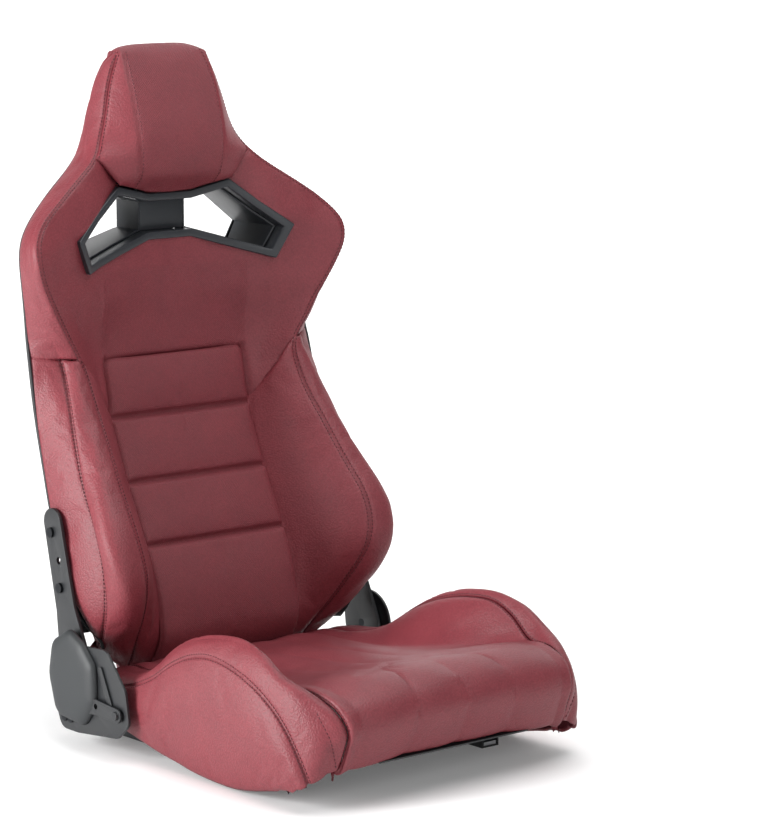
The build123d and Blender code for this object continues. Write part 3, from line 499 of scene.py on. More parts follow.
cornerLine = guide([
    (100, 215, 235), (142, 224, 208), (160, 237, 224), (185, 246, 238), (211, 250, 250), (251, 250, 264),
    (302, 250, 285), (373, 250, 304), (455, 250, 324), (510, 248, 337), (555, 246, 347), (580, 250, 343),
    (623, 259, 334), (664, 268, 325), (683, 267, 325), (704, 258, 328), (729, 232, 340), (757, 196, 354),
    (783, 152, 375), (797, 132, 386), (826, 110, 398), (868, 95, 399), (903, 85, 393), (932, 77, 384),
    (945, 74, 376)])
middleLine = guide([
    (100, 214), (127, 203), (166, 203), (205, 214), (258, 236), (343, 280), (431, 317), (511, 336),
    (560, 338), (601, 338), (640, 340), (680, 343), (745, 344)])
insertEdge = guide([
    (100, 214), (127, 200), (166, 203), (202, 211), (260, 236), (343, 279), (430, 316), (507, 333)])
headMiddle = guide([
    (738, 330), (752, 314), (768, 305), (790, 300), (813, 299), (841, 302), (867, 310), (894, 320),
    (920, 332), (940, 343), (950, 351), (956, 360)])
wingMiddle = guide([
    (500, 336), (560, 338), (601, 338), (640, 339), (666, 336), (700, 316), (737, 321), (758, 328),
    (800, 336)])
insertHalf = 126.0
insertTop = 513.0
channelZ = (431.0, 343.0, 259.0)


def diagonalSeam(z):
    # the bolster's top edge, from the insert's edge up to the crest: x at height z
    return spline([424, 440, 462, 490, 523], [124, 131, 148, 170, 190], z)[..., 0]


def ringDepth(x):
    return np.interp(np.abs(x), [0, 37, 98, 140, 190], [338, 338, 326, 314, 290])


apexSeam = np.array([(98, 318, 758), (108, 319, 766), (121, 322, 781), (136, 327, 800)], float)

# upper panel: one cover from behind the insert, round both ends of the bezel, up to the head
# (heights and half widths in millimetres, thickness and seams in metres)
upperPanel = {
    "thickness": 0.010, "bottom": 426, "top": 806, "halfSpan": 250, "rowStep": 2.9,
    "seamDepth": 0.0034, "seamWidth": 0.0026, "stitchGap": 0.0045, "stitchFrom": 530,
    # how far it drops behind the insert and the head, and where those drops begin
    "tuck": 11.0, "tuckPast": 5.0, "tuckEase": 14.0, "headStep": 4.0,
    # the bezel's outline, how far the panel stays behind its rim, and the opening inside it
    "bezelEdge": [(38, 743), (98, 758), (190, 688), (165, 639), (38, 678)], "rimClear": 2.5,
    "opening": [(30, 737), (97, 751), (181, 688), (160, 646), (30, 684)],
    "weaveHalf": 128.0, "weaveTop": 640.0}


def panelEdgeX(z):
    return np.where(z < 523, diagonalSeam(z), onGuide(edgeLine, z)[..., 0])


def panelDepth(x, z):
    # front surface y of the upper panel
    edgeX, edgeY = panelEdgeX(z), onGuide(edgeLine, z)[..., 1]
    # below the bolster's top the panel ends on the bolster's inner face
    inwards = np.clip((190 - edgeX) / (190 - insertHalf), 0, 1) * (z < 523)
    edgeY = edgeY + (onGuide(insertEdge, z)[..., 0] - edgeY) * inwards
    middle = onGuide(middleLine, z)[..., 0]
    wing = onGuide(wingMiddle, z)[..., 0]
    middle = middle + (wing - middle) * smoothStep(100, 165, np.abs(x))
    power = 5.0 - 3.0 * smoothStep(515, 610, z)
    share = np.abs(x) / edgeX
    return middle - (middle - edgeY) * share ** power


def farFrom(x, z, loop):
    # distance outside a closed outline in x and z, 0 inside
    best = np.full(x.shape, 1e9)
    for (x0, z0), (x1, z1) in zip(loop, loop[1:] + loop[:1]):
        dx, dz = x1 - x0, z1 - z0
        t = np.clip(((x - x0) * dx + (z - z0) * dz) / (dx * dx + dz * dz), 0, 1)
        best = np.minimum(best, np.hypot(x - x0 - t * dx, z - z0 - t * dz))
    return np.where(insidePolygon(x, z, loop), 0, best)


def insidePolygon(x, z, polygon):
    inside = np.zeros(x.shape, bool)
    for (x0, z0), (x1, z1) in zip(polygon, polygon[1:] + polygon[:1]):
        crosses = ((z0 > z) != (z1 > z)) & (x < (x1 - x0) * (z - z0) / (z1 - z0 + 1e-9) + x0)
        inside ^= crosses
    return inside


def fullLoop(half):
    return half + [(-x, z) for x, z in reversed(half)]


def buildUpperPanel():
    z = np.arange(upperPanel["bottom"], upperPanel["top"], upperPanel["rowStep"])
    share = stations(2 * upperPanel["halfSpan"], 1.8, 3.4) * 2 - 1
    zz = np.repeat(z[:, None], len(share), 1)
    xx = share[None, :] * panelEdgeX(zz)
    yy = panelDepth(xx, zz)
    # it drops behind the insert, and under the bezel's rim
    ease, reach = upperPanel["tuckEase"], upperPanel["tuckPast"]
    behind = smoothStep(0, ease, insertHalf + reach - np.abs(xx)) * smoothStep(0, ease, insertTop + reach - zz)
    yy = yy + upperPanel["tuck"] * behind
    near = 1 - smoothStep(3, 20, farFrom(xx, zz, fullLoop(upperPanel["bezelEdge"])))
    yy = yy + near * (np.maximum(yy, ringDepth(xx) + upperPanel["rimClear"]) - yy)
    # under the head's cover it steps back a little
    dx, dz = apexSeam[-1][0] - apexSeam[0][0], apexSeam[-1][2] - apexSeam[0][2]
    past = ((zz - apexSeam[0][2]) * dx - (np.abs(xx) - apexSeam[0][0]) * dz) / math.hypot(dx, dz)
    above = smoothStep(-1, 4, past) * smoothStep(740, 752, zz)
    yy = yy + upperPanel["headStep"] * above
    points = relax(np.stack([xx, yy, zz], -1) * mm, 3)
    seamPaths = [(apexSeam * mm * [s, 1, 1], 0.0022, 0.0028) for s in (1, -1)]
    groove = [(points[:, 0], upperPanel["seamDepth"], upperPanel["seamWidth"]),
              (points[:, -1], upperPanel["seamDepth"], upperPanel["seamWidth"])]
    points = press(points, groove + seamPaths)
    ax = np.abs(points[..., 0]) / mm
    hole = insidePolygon(points[..., 0] / mm, zz, fullLoop(upperPanel["opening"]))
    hole |= (ax < insertHalf - 16) & (zz < insertTop - 16)
    hole |= (past > 9) & (zz > 748)
    hole |= (zz > 738) & (ax < 60)
    rows = slice(int((upperPanel["stitchFrom"] - upperPanel["bottom"]) / upperPanel["rowStep"]), None)
    for side in (-1, 1):
        stitchEdge(points, side, upperPanel["stitchGap"], "backrest", rows)
    weave = (ax < upperPanel["weaveHalf"]) & (zz < upperPanel["weaveTop"])
    return sheetPiece("upperPanel", points, upperPanel["thickness"], grainLeather, "backrest",
                      ("upper_back_pad",), skip=hole, fill=0.7, most=0.002,
                      second=(weaveLeather, weave.astype(float)))


buildUpperPanel()

# shoulder sides: from the double seam round to the back's corner, up both sides of the head
shoulder = {"thickness": 0.010, "bottom": 523, "top": 943, "crown": 3.0, "crownRear": 3.0,
            "frontWidth": 24, "rearWidth": 46, "rollIn": 6,
            "seamDepth": 0.0032, "seamWidth": 0.0026, "stitchGap": 0.0045}


def between(a, b, t, crown, outward):
    base = a[:, None, :] * (1 - t)[None, :, None] + b[:, None, :] * t[None, :, None]
    bulge = np.asarray(crown)[..., None] * (4 * t * (1 - t))[None, :] ** 0.85
    return base + outward[:, None, :] * bulge[:, :, None]


def outwardOf(a, b):
    # horizontal normal of the chord, pointing away from the centre plane
    d = b - a
    n = np.stack([d[:, 1], -d[:, 0], np.zeros(len(d))], 1)
    return n / np.maximum(np.linalg.norm(n, axis=1, keepdims=True), 1e-9)


def buildShoulder(name, sign):
    z = np.linspace(shoulder["bottom"], shoulder["top"], 140)
    edge, side, corner = at3(edgeLine, z), at3(sideLine, z), at3(cornerLine, z)
    flat = np.ones(len(z))
    first = between(edge, side, stations(shoulder["frontWidth"], 1.6, 3.0),
                    flat * shoulder["crown"], outwardOf(edge, side))
    second = between(side, corner, stations(shoulder["rearWidth"], 1.6, 4.0),
                     flat * shoulder["crownRear"], outwardOf(side, corner))
    points = np.concatenate([first, second[:, 1:]], 1)
    # the top rolls in over the head's shoulder
    over = smoothStep(shoulder["top"] - 18, shoulder["top"], z)
    points[..., 0] -= (shoulder["rollIn"] * over ** 2)[:, None]
    points = relax(points * mm, 3)
    dart = np.array([(241, 323, 581), (240, 299, 555), (238, 275, 530)], float) * mm
    edges = rim(points, shoulder["seamDepth"], shoulder["seamWidth"], "lrb")
    points = press(points, edges + [(dart, 0.0018, 0.0022)])
    stitchBeside(points, sign, 0, (shoulder["stitchGap"],), "backrest")
    points = mirrored(points, sign)
    return sheetPiece("shoulderSide_" + name, points, shoulder["thickness"], grainLeather, "backrest",
                      ("back_shoulder_" + name,), flip=sign < 0, fill=0.7, most=0.0025)


bothSides(buildShoulder)

# the head's cover: centre panel and both side panels, over the crown and down behind
headCover = {"thickness": 0.012, "sideCrown": 3.0, "seamDepth": 0.0026, "seamWidth": 0.0022,
             "lowHalf": 136, "lowZ": 800, "topHalf": 76, "topZ": 943, "rear": 395, "stitchGap": 0.004}
headSeam = guide([
    (738, 73, 322), (759, 73, 314), (786, 73, 306), (813, 73.5, 305), (841, 73.8, 309), (867, 73.9, 316),
    (894, 73.5, 325), (920, 72, 337), (938, 70, 347), (946, 68, 353)])


def headDepth(x, z):
    x = np.abs(x)
    middle = onGuide(headMiddle, z)[..., 0]
    seam = onGuide(headSeam, z)
    edge = onGuide(edgeLine, z)
    # below the shoulder it ends on the apex seam, above it on the double seam
    onApex, apexZ = z < headCover["lowZ"], [740, 758, 800]
    outX = np.where(onApex, np.interp(z, apexZ, [88, 98, 136]), edge[..., 0])
    outY = np.where(onApex, np.interp(z, apexZ, [317, 318, 327]), edge[..., 1])
    inner = middle + (seam[..., 1] - middle) * np.clip(x / seam[..., 0], 0, 1) ** 2.2
    share = np.clip((x - seam[..., 0]) / np.maximum(outX - seam[..., 0], 8), 0, 1.05)
    outer = seam[..., 1] + (outY - seam[..., 1]) * share - headCover["sideCrown"] * 4 * share * (1 - share)
    depth = np.where(x < seam[..., 0], inner, outer)
    # the lowest part runs back to the bezel's rim
    return depth + (np.maximum(depth, ringDepth(x) - 2) - depth) * (1 - smoothStep(744, 774, z)) * (x < 98)


def buildHead():
    lowHalf, lowZ, topHalf, topZ = (headCover[k] for k in ("lowHalf", "lowZ", "topHalf", "topZ"))
    share = stations(2 * 110, 2.0, 2.8) * 2 - 1
    bottomX = share * lowHalf
    bottomZ = np.interp(np.abs(bottomX), [0, 38, 98, 108, 121, 136], [743, 744, 758, 766, 781, 800])
    rows = []
    for part in np.linspace(0, 1, 76):
        full = onGuide(edgeLine, [lowZ + (topZ - lowZ) * part])[0, 0]
        straight = lowHalf + (topHalf - lowHalf) * part
        x = bottomX * (1 - part) + share * topHalf * part + share * (full - straight)
        z = bottomZ * (1 - part) + topZ * part
        rows.append(np.column_stack([x, headDepth(x, z), z]))
    # over the crown: how far up, how far back and how wide each row is
    last = rows[-1]
    crown = [(3.2, 4.0, 75.5), (7.0, 9.0, 74.5), (10, 15, 73), (11.5, 22, 71.5),
             (11.0, 30, 70), (7.5, 37, 69), (1.0, 42, 68), (-9, 45, 68)]
    deepest = crown[-1][1]
    for up, backBy, half in crown:
        x = share * half
        y = last[:, 1] + backBy + (headCover["rear"] - last[:, 1] - deepest) * (backBy / deepest) ** 1.5
        z = topZ + up - 7.5 * np.abs(share) ** 5 * smoothStep(0, 12, backBy)
        rows.append(np.column_stack([x, y, z]))
    points = relax(np.array(rows) * mm, 4)
    seamZ = np.linspace(748, 944, 60)
    grooves = rim(points, 0.003, 0.004, "b") + rim(points, 0.0022, 0.003, "lr")
    for s in (1, -1):
        line = at3(headSeam, seamZ) * mm * [s, 1, 1]
        grooves.append((line, headCover["seamDepth"], headCover["seamWidth"]))
    points = press(points, grooves)
    for s in (1, -1):
        stitchOn(points, s, (at3(headSeam, seamZ) - [4, 0, 0]) * mm, "backrest")
        stitchEdge(points, s, headCover["stitchGap"], "backrest", slice(2, 74))
    weave = np.abs(points[..., 0]) / mm < onGuide(headSeam, np.clip(points[..., 2] / mm, 740, 945))[..., 0]
    return sheetPiece("headCover", points, headCover["thickness"], grainLeather, "backrest",
                      ("headrest_pad",), fill=0.75, most=0.002,
                      second=(weaveLeather, weave.astype(float)))


buildHead()
print("upper backrest made")

# back bolsters: inner face, rounded strip between crest and side seam, flank
bolster = {"thickness": 0.012, "innerCrown": 7.0, "innerHollow": 5.0, "flankCrown": 4.0,
           "bottom": 80.0, "crestTop": 523.0, "crestX": 190, "underInsert": 9.0, "footTurn": 10,
           "seamDepth": 0.003, "seamWidth": 0.0022, "stitchGap": 0.0038}
# how far the strip between the seams stands out, by height
stripCrown = ([110, 140, 170, 200, 230, 260, 290, 320, 350, 380, 410, 440, 470, 500, 521],
              [13, 17, 22, 29, 34, 37, 37, 31, 24, 18, 14, 12, 11, 10, 6])


def buildBolster(name, sign):
    # each column: its face, its place across it, and the heights of its foot and top
    tA, tB, tC = stations(90, 1.8, 3.6), stations(74, 1.8, 3.4), stations(80, 1.8, 4.0)
    v = np.linspace(0, 1, 130)
    low, top = bolster["bottom"], bolster["crestTop"]
    columns = []
    for t in tA:
        x = insertHalf + (bolster["crestX"] - insertHalf) * t
        columns.append((0, t, low, np.interp(x, [126, 131, 148, 170, 190], [430, 441, 462, 490, 523])))
    for t in tB[1:]:
        columns.append((1, t, low + 42 * t, top))
    for t in tC[1:]:
        columns.append((2, t, low + 42 + 116 * t ** 1.2, top + 8 * t))
    points = np.zeros((len(v), len(columns), 3))
    for c, (segment, t, low, high) in enumerate(columns):
        z = low + (high - low) * v
        innerX = np.full(len(z), insertHalf - bolster["underInsert"])
        inner = np.column_stack([innerX, onGuide(insertEdge, z)[:, 0] + 5.0, z])
        ends = [inner, at3(edgeLine, z), at3(sideLine, z), at3(cornerLine, z)]
        a, b = ends[segment], ends[segment + 1]
        n = outwardOf(a, b)
        if segment == 0:
            swell = bolster["innerCrown"] * t - bolster["innerHollow"] * (1 - t)
            lift = math.sin(math.pi * t) * swell * 1.6
            points[:, c] = a + (b - a) * t + n * lift
        elif segment == 1:
            lift = np.interp(z, *stripCrown) * (4 * t * (1 - t)) ** 0.8
            points[:, c] = a + (b - a) * t + n * lift[:, None]
        else:
            points[:, c] = a + (b - a) * t + n * bolster["flankCrown"] * 4 * t * (1 - t)
    # the foot of the bolster turns in under the edge
    foot = 1 - smoothStep(0, 0.09, v)
    points[:, :, 1] += (bolster["footTurn"] * foot ** 2)[:, None]
    crest, side = len(tA) - 1, len(tA) + len(tB) - 2
    points = relax(points * mm, 4)
    grooves = rim(points, 0.0026, 0.003, "rt")
    grooves += [(points[:, seam], bolster["seamDepth"], bolster["seamWidth"]) for seam in (crest, side)]
    points = press(points, grooves)
    held = np.minimum(awayFrom(points, points[:, crest]), awayFrom(points, points[:, side]))
    gap = bolster["stitchGap"]
    for seam in (crest, side):
        stitchBeside(points, sign, seam, (-gap, gap), "backrest")
    points = mirrored(points, sign)
    return sheetPiece("backBolster_" + name, points, bolster["thickness"], grainLeather, "backrest",
                      ("back_bolster_" + name,), flip=sign < 0, fill=0.7, held=held)


bothSides(buildBolster)

# insert: four ribs between the bolsters
insert = {"thickness": 0.014, "bottom": 84.0, "ribCrown": 6.5, "corner": 16.0, "footTurn": 9.0,
          "channelDepth": 0.0055, "channelWidth": 0.0042}


def buildInsert():
    x = stations(2 * insertHalf, 1.8, 4.0) * 2 - 1
    corner = insert["corner"]
    stops = [insert["bottom"]] + sorted(channelZ) + [insertTop + 3]
    z, marks = [], []
    for low, high in zip(stops, stops[1:]):
        marks.append(len(z))
        z += list(low + (high - low) * stations(high - low, 1.3, 3.6)[:-1])
    z.append(stops[-1])
    rows = []
    for zi in z:
        edgeY = onGuide(insertEdge, [zi])[0, 0]
        low = max(s for s in stops if s <= zi + 1e-6)
        high = min([s for s in stops if s > low] or [stops[-1] + 1])
        part = np.clip((zi - low) / (high - low), 0, 1)
        crown = insert["ribCrown"] * (4 * part * (1 - part)) ** 0.6
        near = min(stops[-1] - zi, corner)
        width = insertHalf - corner + math.sqrt(corner ** 2 - (corner - near) ** 2)
        width = max(width, insertHalf - corner + 3)
        foot = 1 - smoothStep(0, 16, zi - insert["bottom"])
        y = edgeY - crown * (1 - np.abs(x) ** 6) - 2.0 + insert["footTurn"] * foot ** 2
        rows.append(np.column_stack([x * width, y, np.full(len(x), zi)]))
    points = relax(np.array(rows) * mm, 2)
    grooves = [(points[m], insert["channelDepth"], insert["channelWidth"]) for m in marks[1:]]
    held = np.stack([awayFrom(points, points[m]) for m in marks[1:]]).min(axis=0)
    points = press(points, grooves + rim(points, 0.006, 0.0045, "lrt"))
    return sheetPiece("backInsert", points, insert["thickness"], weaveLeather, "backrest", ("back_insert",),
                      fill=0.65, held=held)


buildInsert()
print("backrest pads made")

# rear shell: a moulded back that wraps to the covers' edge
shell = {"thickness": 0.003, "bottom": 112, "top": 934, "halfSpan": 250,
         "turn": 76.0, "headTurn": 40.0, "roundness": 1.15, "proud": 0.8, "lip": 5.0,
         "opening": [(32, 737), (97, 751), (182, 688), (161, 645), (32, 684)]}
rearLine = guide([
    (116, 290), (247, 318), (358, 372), (431, 404), (513, 422), (601, 426),
    (698, 420), (801, 412), (868, 405), (928, 392), (956, 372)])


def buildShell():
    z = np.linspace(shell["bottom"], shell["top"], 188)
    corner = at3(cornerLine, np.minimum(z, 945))
    rear = onGuide(rearLine, z)[:, 0]
    share = stations(2 * shell["halfSpan"], 1.6, 5.0) * 2 - 1
    rows = []
    for zi, (cx, cy, _), ry in zip(z, corner, rear):
        x = share * (cx + shell["proud"])
        turn = shell["headTurn"] + (shell["turn"] - shell["headTurn"]) * (1 - smoothStep(740, 800, zi))
        s = np.clip((cx + shell["proud"] - np.abs(x)) / turn, 0, 1)
        y = cy + (ry - cy) * (1 - (1 - s) ** shell["roundness"]) - shell["lip"] * (1 - smoothStep(0, 0.03, s))
        rows.append(np.column_stack([x, y, np.full(len(x), zi)]))
    points = relax(np.array(rows) * mm, 2)
    hole = insidePolygon(points[..., 0] / mm, points[..., 2] / mm, fullLoop(shell["opening"]))
    sheetPiece("rearShell", points, shell["thickness"], shellPlastic, "backrest", ("back_panel",), flip=True,
               skip=hole)


buildShell()
print("rear shell made")

# base cushion: each row is one cross-section of guide points (x, y, z), back to front and under
baseRows = [
    # middle          nose seam          foot               inner seam         crest              outer seam
    ((0, 226, 92), (72, 226, 92), (140, 224, 92), (176, 222, 93), (205, 214, 95), (240, 194, 86)),
    ((0, 192, 100), (72, 192, 100), (141, 190, 101), (177, 189, 103), (206, 189, 103), (241, 184, 91)),
    ((0, 150, 103), (72, 150, 103), (146, 148, 101), (184, 146, 106), (214, 143, 107), (246, 146, 93)),
    ((0, 100, 108), (72, 100, 108), (150, 98, 102), (196, 95, 121), (222, 92, 120), (248, 92, 106)),
    ((0, 55, 112), (72, 55, 112), (151, 50, 106), (207, 50, 151), (227, 48, 145), (248, 50, 124)),
    ((0, 15, 116), (72, 14, 116), (151, 8, 113), (211, 10, 171), (229, 8, 170), (248, 14, 147)),
    ((0, -30, 120), (72, -32, 120), (151, -34, 121), (212, -34, 185), (230, -34, 188), (248, -28, 166)),
    ((0, -75, 126), (72, -78, 126), (153, -78, 129), (212, -80, 193), (230, -82, 197), (248, -75, 175)),
    ((0, -118, 134), (72, -120, 134), (160, -118, 136), (213, -122, 193), (230, -126, 199), (248, -124, 169)),
    ((0, -160, 145), (72, -163, 145), (178, -155, 141), (213, -160, 178), (230, -168, 192), (248, -168, 155)),
    ((0, -205, 155), (73, -210, 155), (188, -196, 150), (209, -200, 153), (229, -206, 172), (246, -204, 134)),
    ((0, -248, 161), (76, -252, 161), (184, -240, 154), (206, -238, 152), (226, -240, 156), (244, -230, 110)),
    ((0, -284, 156), (80, -286, 153), (180, -278, 146), (202, -272, 142), (222, -264, 136), (242, -247, 87)),
    ((0, -305, 141), (83, -305, 138), (176, -298, 132), (198, -292, 126), (217, -281, 116), (240, -258, 68)),
    ((0, -313, 120), (84, -312, 117), (174, -306, 112), (194, -300, 106), (213, -288, 95), (238, -264, 55)),
    ((0, -306, 95), (84, -306, 95), (174, -300, 92), (193, -294, 86), (211, -284, 75), (236, -267, 46)),
    ((0, -290, 66), (86, -289, 65), (176, -285, 58), (194, -280, 54), (210, -274, 50), (234, -268, 40)),
    ((0, -272, 56), (86, -272, 55), (176, -268, 49), (194, -264, 45), (210, -260, 42), (232, -258, 36)),
]
flankRows = [
    # outer seam, flank middle, bottom
    ((240, 194, 86), (249, 192, 64), (240, 190, 42)),
    ((241, 184, 91), (249, 181, 65), (240, 178, 39)),
    ((246, 146, 93), (252, 142, 64), (240, 138, 34)),
    ((248, 92, 106), (253, 92, 66), (240, 92, 25)),
    ((248, 50, 124), (254, 50, 72), (240, 50, 17)),
    ((248, 14, 147), (255, 12, 82), (240, 12, 12)),
    ((248, -28, 166), (256, -28, 90), (240, -28, 6)),
    ((248, -75, 175), (256, -74, 93), (240, -74, 3)),
    ((248, -124, 169), (256, -120, 90), (240, -118, 3)),
    ((248, -168, 155), (256, -160, 84), (240, -155, 8)),
    ((246, -204, 134), (254, -192, 76), (240, -184, 14)),
    ((244, -230, 110), (252, -216, 66), (239, -200, 17)),
    ((242, -247, 87), (249, -232, 54), (239, -209, 19)),
    ((240, -258, 68), (247, -243, 46), (238, -216, 21)),
    ((238, -264, 55), (244, -249, 39), (237, -224, 22)),
    ((236, -267, 46), (242, -253, 35), (236, -230, 23)),
    ((234, -268, 40), (240, -252, 32), (235, -232, 23)),
    ((232, -258, 36), (237, -245, 30), (233, -230, 24)),
]


def surfaceFrom(table, rowSteps, spacing, crowns):
    # smooth surface through a table of guide points, with a crown between neighbouring columns
    table = np.array(table, float)[::-1]
    rowsAt = np.linspace(0, len(table) - 1, (len(table) - 1) * rowSteps + 1)
    lines = np.stack([spline(np.arange(len(table)), table[:, c], rowsAt) for c in range(table.shape[1])], 1)
    count = table.shape[1]
    columns, marks = [lines[:, 0]], [0]
    lift = [0.0]
    for c in range(count - 1):
        a, b = lines[:, c], lines[:, c + 1]
        before, after = lines[:, max(c - 1, 0)], lines[:, min(c + 2, count - 1)]
        ta = (b - before) / 2 if c > 0 else (b - a)
        tb = (after - a) / 2 if c < count - 2 else (b - a)
        for s in spacing[c][1:]:
            p = ((2 * s**3 - 3 * s**2 + 1) * a + (s**3 - 2 * s**2 + s) * ta
                 + (-2 * s**3 + 3 * s**2) * b + (s**3 - s**2) * tb)
            columns.append(p)
            lift.append(crowns[c] * 4 * s * (1 - s))
        marks.append(len(columns) - 1)
    grid = np.stack(columns, 1)
    return grid + normalsOf(grid) * np.array(lift)[None, :, None], marks


base = {"thickness": 0.010, "bolsterThickness": 0.005, "rowSteps": 8, "tuckRows": 9,
        "seamDepth": 0.003, "seamWidth": 0.0022, "stitchGap": 0.0038}


def buildBase():
    gap = base["stitchGap"]
    across = (stations(73, 2.5, 4), stations(80, 2.5, 4), stations(48, 1.8, 3.6),
              stations(22, 1.7, 2.6), stations(30, 1.7, 3.2))
    down = (stations(70, 1.8, 4), stations(70, 2.2, 4))
    top, marks = surfaceFrom(baseRows, base["rowSteps"], across, (2.0, 3.0, 3.0, 1.5, 3.0))
    low, _ = surfaceFrom(flankRows, base["rowSteps"], down, (3.0, 2.0))
    whole = relax(np.concatenate([top, low[:, 1:]], 1) * mm, 3)
    inner, outer = marks[3], marks[5]

    def bolsterOf(name, sign):
        grid = whole[base["tuckRows"]:, inner:]
        side = outer - inner
        grooves = rim(grid, base["seamDepth"], base["seamWidth"], "l") + rim(grid, 0.002, 0.004, "rt")
        grooves += [(grid[:, side], base["seamDepth"], base["seamWidth"])]
        grid = press(grid, grooves)
        gusset = np.array([(207, -232, 152), (206, -262, 128), (204, -280, 100), (198, -284, 62)], float) * mm
        grid = press(grid, [(gusset, 0.002, 0.002)])
        stitchOn(grid, sign, gusset + [0.004, 0, 0], "base")
        held = awayFrom(grid, grid[:, side])
        stitchBeside(grid, sign, 0, (gap,), "base", slice(4, len(grid) - 30))
        stitchBeside(grid, sign, side, (-gap, gap), "base", slice(4, len(grid) - 8))
        sheetPiece("baseBolster_" + name, mirrored(grid, sign), base["bolsterThickness"], grainLeather,
                   "base", ("base_bolster_" + name,), flip=sign < 0, fill=0.75, held=held)

    bothSides(bolsterOf)
    right = whole[:, :inner + 1]
    centre = np.concatenate([mirrored(right, -1)[:, ::-1][:, :-1], right], 1)
    noseSeam = np.array([(86, -288, 67), (84, -313, 120), (81, -286, 154), (76, -252, 163),
                         (72, -225, 160), (58, -200, 156), (30, -190, 154)], float) * mm
    noseSeams = [mirrored(noseSeam, s) for s in (1, -1)]
    grooves = rim(centre, base["seamDepth"], base["seamWidth"], "lr") + rim(centre, 0.003, 0.004, "bt")
    centre = press(centre, grooves + [(path, 0.0024, 0.0022) for path in noseSeams])
    held = np.stack([awayFrom(centre, path) for path in noseSeams]).min(axis=0)
    for side in (1, -1):
        stitchEdge(centre, side, gap, "base", slice(26, len(whole) - 4))
    sheetPiece("baseCushion", centre, base["thickness"], grainLeather, "base",
               ("base_cushion", "base_nose"), fill=0.7, held=held)


buildBase()
print("base pads made")

# recliner cap: a domed moulding over the side mechanism
cap = {"rings": 16, "around": 72, "shoulder": 0.45, "rise": 0.8, "firstRing": 0.08, "lastRing": 0.06}


def buildCap():
    cover = nodes["recliner_cover"].data
    co = np.zeros(len(cover.vertices) * 3)
    cover.vertices.foreach_get("co", co)
    co = co.reshape(-1, 3)
    low, high = co.min(axis=0), co.max(axis=0)
    centre = np.array([(low[1] + high[1]) / 2, (low[2] + high[2]) / 2])
    angles = np.linspace(0, 2 * math.pi, cap["around"], endpoint=False)
    reach = []
    for a in angles:
        d = np.array([math.cos(a), math.sin(a)])
        reach.append(((co[:, 1:] - centre) @ d).max())
    outline = []
    reach = np.array(reach)
    # support distances give the outline's corner points back as x cos + y sin
    slope = (np.roll(reach, -1) - np.roll(reach, 1)) / (angles[1] - angles[0]) / 2
    for a, r, s in zip(angles, reach, slope):
        outline.append((centre[0] + r * math.cos(a) - s * math.sin(a),
                        centre[1] + r * math.sin(a) + s * math.cos(a)))
    outline = np.array(outline)
    verts, faces = [], []
    deep = high[0] - low[0]
    # each ring's size and height, steep at the edge and flat on top
    profile = [(1.0, 0.0)]
    for t in np.linspace(cap["firstRing"], math.pi / 2 - cap["lastRing"], cap["rings"]):
        profile.append((math.cos(t) ** cap["shoulder"], math.sin(t) ** cap["rise"]))
    for scale, rise in profile:
        ring = centre + (outline - centre) * scale
        for y, z in ring:
            verts.append((high[0] - deep * rise, y, z))
    count = cap["around"]
    for r in range(len(profile) - 1):
        for i in range(count):
            a, b = r * count + i, r * count + (i + 1) % count
            faces.append((a, b, b + count, a + count))
    verts.append((high[0] - deep, centre[0], centre[1]))
    top = len(verts) - 1
    last = (len(profile) - 1) * count
    for i in range(count):
        faces.append((last + i, last + (i + 1) % count, top))
    faces.append(tuple(range(count - 1, -1, -1)))
    mesh = bpy.data.meshes.new("reclinerCap")
    mesh.from_pydata(verts, [], faces)
    work = bmesh.new()
    work.from_mesh(mesh)
    bmesh.ops.recalc_face_normals(work, faces=work.faces)
    work.to_mesh(mesh)
    work.free()
    mesh.materials.append(coverPlastic)
    for face in mesh.polygons:
        face.use_smooth = len(face.vertices) < 5
    made = bpy.data.objects.new("reclinerCap", mesh)
    bpy.context.scene.collection.objects.link(made)
    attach(made, "base")
    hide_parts("recliner_cover", "cover_screws")


buildCap()

# mouldings and pressings with broken edges
slotOf = {part["node"]: part["material_slot"] for part in frame["record"]["subparts"]}
brokenEdges = {
    "backrest": {"bezel_front": 0.0018, "bezel_bridge": 0.001, "bezel_liner_inboard": 0.0006,
                 "bezel_liner_outboard": 0.0006, "bezel_rear": 0.0008,
                 "hinge_arm_inboard": 0.0012, "hinge_arm_outboard": 0.0012},
    "base": {"hinge_bracket_inboard": 0.001, "hinge_bracket_outboard": 0.001, "bracket_rib": 0.001},
    "lever": {"release_lever": 0.001}}
for body, widths in brokenEdges.items():
    for node, width in widths.items():
        bevelledCopy("trim_" + node, node, body, finishBySlot[slotOf[node]], width)
print("trim made")

# thread: one short stitch shape repeated along every seam line
stitch = {"length": 0.0042, "pitch": 0.0054, "radius": 0.0007}


